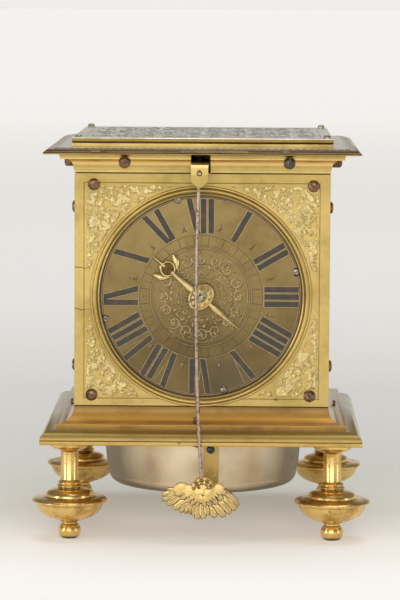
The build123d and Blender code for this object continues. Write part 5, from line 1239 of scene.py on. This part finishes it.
def barbs(rows, base):
    """Short slanting strokes each side of a feather's shaft."""
    t = np.linspace(0.3, 0.92, 12)
    spots, chord, _, half = feather_lines(rows, t)
    heading = np.repeat(np.arctan2(chord[..., 1], chord[..., 0]), len(t))
    reach = (half * 1.05 * np.sqrt(1 - t**5)).ravel()
    paths = [
        strokes(spots.reshape(-1, 2), heading + sign * 0.62, reach, -sign * 0.2, count=4)
        for sign in (-1, 1)]
    return strands(np.concatenate(paths), 0.13, 0.14, on_front(base), ends=(0.7, 0.3), crown=sharp_back)


def edge_lines(rows, base, half_width):
    """A thin dark stroke along each long edge of each feather."""
    t = np.linspace(0.12, 0.97, 14)
    middle, _, side, half = feather_lines(rows, t)
    reach = (0.94 * half * feather_outline(t))[..., None] * side / np.linalg.norm(side, axis=2, keepdims=True)
    paths = np.concatenate([middle - reach, middle + reach])
    return strands(paths, half_width, 0.1, on_front(base), ends=(0.6, 0.4), sink=0.5, crown=sharp_back)


def fan(*rows):
    """(tip x, tip z, heading in degrees, length, half width, bow) becomes (root, tip, half width, bow)."""
    tip_x, tip_z, heading, length, half, bow = np.asarray(rows, float).T
    way = np.radians(heading)
    return np.stack([tip_x - length * np.cos(way), tip_z - length * np.sin(way), tip_x, tip_z, half, bow], -1)


flight = fan(
    (-16.3, 27.0, 190, 8.0, 1.25, 0.10), (-19.1, 24.3, 197, 10.0, 1.55, 0.05),
    (-18.9, 21.6, 203, 10.0, 1.5, 0.03), (-16.5, 19.4, 210, 9.6, 1.85, 0.0),
    (-13.2, 17.2, 216, 9.0, 1.9, 0.0), (-10.4, 15.6, 222, 8.4, 1.6, -0.02),
    (-7.9, 15.1, 228, 7.4, 1.3, -0.02), (-5.7, 14.9, 235, 6.4, 1.3, -0.02), (7.7, 13.2, 304, 7.4, 1.75, 0.02),
    (12.0, 13.4, 310, 9.0, 1.85, 0.02), (15.2, 15.1, 314, 10.0, 1.8, 0.02),
    (17.8, 16.9, 317, 10.5, 1.75, 0.0), (19.0, 18.9, 320, 10.0, 1.35, 0.0),
    (18.4, 21.0, 322, 9.0, 1.35, -0.02), (16.9, 22.6, 321, 8.0, 1.3, -0.04),
    (14.6, 25.0, 325, 6.5, 1.3, -0.06))
tail = fan((-3.3, 13.9, 262, 6.4, 1.5, 0), (3.6, 14.0, 279, 6.4, 1.5, 0), (-1.5, 12.1, 264, 8.2, 1.95, 0),
           (1.6, 12.2, 276, 8.2, 1.95, 0))
coverts = fan(
    (-12.4, 24.7, 198, 6.0, 1.7, 0.06), (-9.9, 22.6, 209, 5.6, 1.6, 0.02), (-7.2, 20.9, 220, 5.4, 1.6, 0),
    (-4.4, 19.5, 232, 5.2, 1.5, 0), (-1.8, 18.9, 250, 4.8, 1.4, 0), (2.3, 18.6, 282, 4.8, 1.4, 0),
    (5.2, 18.9, 296, 5.0, 1.4, 0), (8.3, 19.8, 308, 5.4, 1.5, 0), (11.0, 21.9, 315, 5.8, 1.6, -0.02),
    (12.8, 24.8, 322, 5.6, 1.6, -0.05))
down = fan(
    (-9.6, 25.4, 204, 4.4, 1.4, 0.02), (-7.4, 23.6, 214, 4.4, 1.4, 0), (-5.0, 22.0, 226, 4.4, 1.3, 0),
    (-2.6, 20.8, 242, 4.0, 1.2, 0), (0.2, 20.2, 268, 3.6, 1.2, 0), (3.0, 20.6, 290, 3.6, 0.7, 0),
    (4.7, 20.4, 298, 3.6, 0.7, 0), (6.2, 21.2, 304, 3.8, 0.7, 0), (7.6, 22.0, 309, 4.0, 0.75, 0),
    (8.9, 23.2, 314, 4.0, 0.8, 0), (10.0, 24.6, 319, 4.0, 0.9, 0))

# %% Shoulders and the child's head
head_x, head_z = 1.3, 26.9
head_face, head_back = -81.75, -79.4


def shield(centre, size, turn, depth, back, rings, turns):
    """An oval of those half sizes, turned; depth(u, w, r) gives the y of its face. It is closed behind."""
    r = np.linspace(1, 0, rings)[None, :]
    a = np.linspace(0, 2 * np.pi, turns, endpoint=False)[:, None]
    u, w = size[0] * r * np.cos(a), size[1] * r * np.sin(a)
    c, k = np.cos(np.radians(turn)), np.sin(np.radians(turn))
    face = np.stack([centre[0] + c * u - k * w, depth(u, w, r) + 0 * a, centre[1] + k * u + c * w], -1)
    rim = face[:, :1].copy()
    rim[..., 1] = back
    middle = np.broadcast_to([centre[0], back, centre[1]], rim.shape)
    return np.concatenate([middle, rim, face], 1), grid_faces(turns, rings + 2, wrap_rows=True)


def pillow(centre, size, turn, base, high):
    """A soft shoulder whose height is high * sqrt(1 - (0.985 * r)^2.2)."""
    return shield(centre, size, turn, lambda u, w, r: base - high * np.sqrt(1 - (0.985 * r) ** 2.2),
                  base + 1.2, rings=10, turns=30)


# the face's hills and hollows: middle across and up, size across and up, height; a pair stands at both sides
single_hills = [
    (0, -0.6, 0.55, 1.1, 0.42), (0, -1.3, 0.85, 0.5, 0.3), (0, -2.55, 1.3, 0.22, -0.3),
    (0, -2.2, 0.9, 0.2, 0.14), (0, -3.0, 0.8, 0.3, 0.24), (0, -4.2, 1.2, 0.7, 0.3), (0, 3.6, 3.0, 1.4, 0.2)]
paired_hills = [(1.95, 0.55, 1.0, 0.5, -0.42), (1.95, 0.5, 0.5, 0.26, 0.26), (1.9, 1.5, 1.2, 0.4, 0.2),
                (2.6, -1.7, 1.2, 1.1, 0.34)]


def face_depth(u, w, r):
    """A dome with the sum of height * exp(-((u - cu) / ru)^2 - ((w - cw) / rw)^2) over the hills."""
    relief = 1.55 * np.sqrt(1 - (0.98 * r) ** 2.6)
    for cu, cw, ru, rw, high in single_hills + paired_hills + [(-cu, *rest) for cu, *rest in paired_hills]:
        relief = relief + high * np.exp(-(((u - cu) / ru) ** 2) - ((w - cw) / rw) ** 2)
    return head_face - relief * 0.79


lock_turns = np.radians(np.concatenate([np.linspace(15, 165, 9), np.linspace(28, 152, 7)]))
lock_ring = np.repeat([5.3, 4.0], [9, 7])
lock_starts = pairs(head_x + lock_ring * np.cos(lock_turns), head_z + 1.08 * lock_ring * np.sin(lock_turns))
lock_hands = np.where(np.arange(16) % 2 == 0, 1.0, -1.0)
locks = strokes(lock_starts, lock_turns + 1.2 * lock_hands, 4.2, 5.6 * lock_hands, count=18, tighten=0.5)
mark_shapes = [(-1.95, 0.5, 0.35), (2.0, 0.3, 0.35), (0.05, -2.5, -0.2), (0.05, -1.5, -0.3), (-1.8, 1.5, 0.3),
               (1.9, 1.3, 0.3)]  # eyes, mouth, nose and brows: across, up and the height of their bow
mark_across, mark_bow = np.linspace(-0.7, 0.7, 8), np.sin(np.linspace(0, np.pi, 8))
face_marks = np.stack([pairs(head_x + across + mark_across, head_z + up + lift * mark_bow)
                       for across, up, lift in mark_shapes])

# %% The bob and its chasing
gilt_bob = metal(
    "gilt_bob", (240, 210, 138), (206, 168, 98), 160, 0.6, 0.5, dirt_and_shade=(110, 78, 34), bright=(255, 240, 188),
    reach=0.6, dirt_and_shade_amount=0.8, polish=(0.36, 0.56))
brown_chasing = metal(
    "brown_chasing", (130, 98, 46), (96, 68, 28), 300, 0.6, 0.5, polish=(0.4, 0.6), metallic=0.6,
    dirt_and_shade_amount=0.3)
make_piece("winged_head_bob", [
    feathers(flight, 0.5, -80.9, 1.6), feathers(tail, 0.5, -81.0, 1.6),
    feathers(coverts, 0.55, -81.3, 1.2), feathers(down, 0.5, -81.6, 1.0),
    barbs(flight, -81.32), barbs(coverts, -81.78), barbs(tail, -81.4),
    pillow((-9.0, 27.0), (3.9, 3.4), 10, -81.2, 0.9), pillow((-5.6, 26.0), (3.4, 3.6), 0, -81.3, 0.9),
    pillow((8.8, 27.0), (3.0, 3.2), -20, -81.2, 0.9), pillow((5.8, 25.0), (2.6, 3.4), -35, -81.4, 0.8),
    shield((head_x, head_z), (5.6, 6.3), -7, face_depth, head_back, rings=30, turns=72),
    strands(locks, 0.42, 0.5, on_front(-82.75), ends=(0.6, 0.4), sink=0.9),
], "gilt_brass", gilt_bob, stands_for=["bob"], body="pendulum")
make_piece("bob_feather_lines", [
    edge_lines(flight, -81.3, 0.12), edge_lines(tail, -81.42, 0.12),
    edge_lines(coverts, -81.76, 0.11), edge_lines(down, -82.02, 0.1),
    strands(locks, 0.16, 0.12, on_front(-83.2), ends=(0.6, 0.4), sink=0.5),
    strands(face_marks, 0.15, 0.1, on_front(-83.05), ends=(0, 0), sink=0.6),
], "gilt_brass", brown_chasing, body="pendulum")

# %% [markdown]
# ## Camera
#
# The clock is seen from a little above, through a long lens, almost square on.

# %% Place the camera
def stand_at(holder, right, up, back, place):
    """Turns an object's own axes right, up and back, and moves it to a place in metres."""
    holder.matrix_world = Matrix([[right[i], up[i], back[i], place[i]] for i in range(3)] + [[0, 0, 0, 1]])


camera = place_object("camera", bpy.data.cameras.new("camera"))
yaw, pitch, roll = np.radians([-0.85, 5.77, 0.32])
forward = np.array([np.sin(yaw) * np.cos(pitch), np.cos(yaw) * np.cos(pitch), -np.sin(pitch)])
right = np.array([np.cos(yaw), -np.sin(yaw), 0.0])
up = np.cross(right, forward)
right, up = np.cos(roll) * right + np.sin(roll) * up, -np.sin(roll) * right + np.cos(roll) * up
stand_at(camera, right, up, -forward, np.array([20.6, -1512.5, 263.5]) * mm)
camera.data.sensor_width = 36.0
camera.data.lens = 36.0 * 3001 / 600  # a focal length of 3001 steps, each a 600th of the picture's long side
bpy.context.scene.camera = camera

# %% [markdown]
# ## Table and lamps
#
# The clock stands on a pale table that runs far back. A large soft lamp in front and one above light it,
# with a weaker one at each side, so that flat brass reads about as its own colour and round brass gets
# soft bands.

# %% The table
# y in mm, and the paper's colour there; the darker band behind the clock is painted shade
shade_stops = [(-1500, 222, 220, 217), (-400, 243, 241, 237), (-146, 243, 240, 236), (-69, 239, 236, 231),
               (17, 216, 213, 205), (114, 202, 203, 195), (223, 203, 202, 196), (348, 209, 207, 203),
               (660, 217, 215, 211), (1095, 225, 224, 220), (1745, 229, 227, 223), (2821, 230, 228, 224),
               (4943, 238, 237, 233), (9000, 240, 239, 238)]
lift_near, lift_far, lift_most = 0.36, 0.89, 0.765  # how brightly the paper glows of itself
table_half = 60000  # mm


def table_paper():
    """A diffuse paper in those colours, lifted where an eye or a mirror sees it, more so far away,
    so that the lamps can stay low."""
    material = bpy.data.materials.new("pale_paper")
    material.use_nodes = True
    tree = material.node_tree
    shader = tree.nodes["Principled BSDF"]
    shader.inputs["Roughness"].default_value = 0.9
    shader.inputs["Specular IOR Level"].default_value = 0.1
    where = place_on(tree)
    (first, *first_shade), *inner_stops, (last, *last_shade) = shade_stops
    along = put(tree, "SeparateXYZ", {0: where}).outputs[1]
    ramp = put(tree, "ValToRGB", {0: slope(tree, along, first * mm, last * mm, 1.0)})
    marks = ramp.color_ramp.elements
    marks[0].color, marks[1].color = srgb(*first_shade), srgb(*last_shade)
    for run, *shade in inner_stops:
        marks.new((run - first) / (last - first)).color = srgb(*shade)
    rays = put(tree, "LightPath").outputs
    tree.links.new(ramp.outputs["Color"], shader.inputs["Base Color"])
    tree.links.new(ramp.outputs["Color"], shader.inputs["Emission Color"])
    away = calc(tree, "ADD", put(tree, "VectorMath", {0: where}, operation="LENGTH").outputs["Value"], 1.0)
    lift = calc(tree, "MAXIMUM", calc(tree, "SUBTRACT", lift_far, calc(tree, "DIVIDE", 0.8, away)), lift_near)
    lift = calc(tree, "MINIMUM", lift, lift_most)
    seen = calc(tree, "MAXIMUM", rays["Is Camera Ray"], rays["Is Glossy Ray"])
    tree.links.new(times(tree, seen, lift), shader.inputs["Emission Strength"])
    below = put(tree, "NewGeometry").outputs["Backfacing"]
    clear = put(tree, "BsdfTransparent").outputs[0]
    from_below = put(tree, "MixShader", {0: below, 1: shader.outputs[0], 2: clear})
    tree.links.new(from_below.outputs[0], tree.nodes["Material Output"].inputs["Surface"])
    return material


mesh = bpy.data.meshes.new("table")
table_corners = [(x * table_half * mm, y * table_half * mm, 0) for y in (-1, 1) for x in (-1, 1)]
mesh.from_pydata(table_corners, [], [(1, 3, 2, 0)])
mesh.materials.append(table_paper())
place_object("table", mesh)


# %% The lamps
def soft_lamp(name, place, aim, size, power):
    """A white lamp of that width and height in metres, turned towards a point."""
    lamp = bpy.data.lights.new(name, "AREA")
    lamp.shape, lamp.size, lamp.size_y = "RECTANGLE", size[0], size[1]
    lamp.energy = power
    back = np.subtract(place, aim)
    back /= np.linalg.norm(back)
    over = np.cross([0, 0, 1.0], back)
    over /= np.linalg.norm(over)
    stand_at(place_object(name, lamp), over, np.cross(back, over), back, place)


soft_lamp("front_lamp", (-0.25, -2.3, 0.75), (0, 0, 0.12), (1.9, 1.3), 15)
soft_lamp("top_lamp", (0.1, 0.1, 1.9), (0, 0, 0.1), (1.6, 1.2), 14)
soft_lamp("left_lamp", (-1.7, -1.0, 0.35), (0, 0, 0.1), (0.35, 1.2), 7)
soft_lamp("right_lamp", (1.9, -0.7, 0.4), (0, 0, 0.1), (0.3, 1.2), 3)
world = bpy.data.worlds.new("room")
bpy.context.scene.world = world
world.use_nodes = True
room = world.node_tree
height = put(room, "SeparateXYZ", {0: put(room, "TexCoord").outputs["Generated"]}).outputs[2]
walls = put(
    room, "MapRange", {"Value": height, "From Min": 0.12, "From Max": 0.42, "To Min": 0.74, "To Max": 0.22},
    interpolation_type="SMOOTHSTEP").outputs["Result"]
seen = put(room, "LightPath").outputs["Is Camera Ray"]
strength = put(room, "Mix", {0: seen, 2: walls, 3: 0.868}, data_type="FLOAT").outputs[0]
room.links.new(strength, room.nodes["Background"].inputs["Strength"])
room.nodes["Background"].inputs["Color"].default_value = (1.0, 0.985, 0.975, 1)
bpy.context.scene.view_settings.view_transform = "Standard"
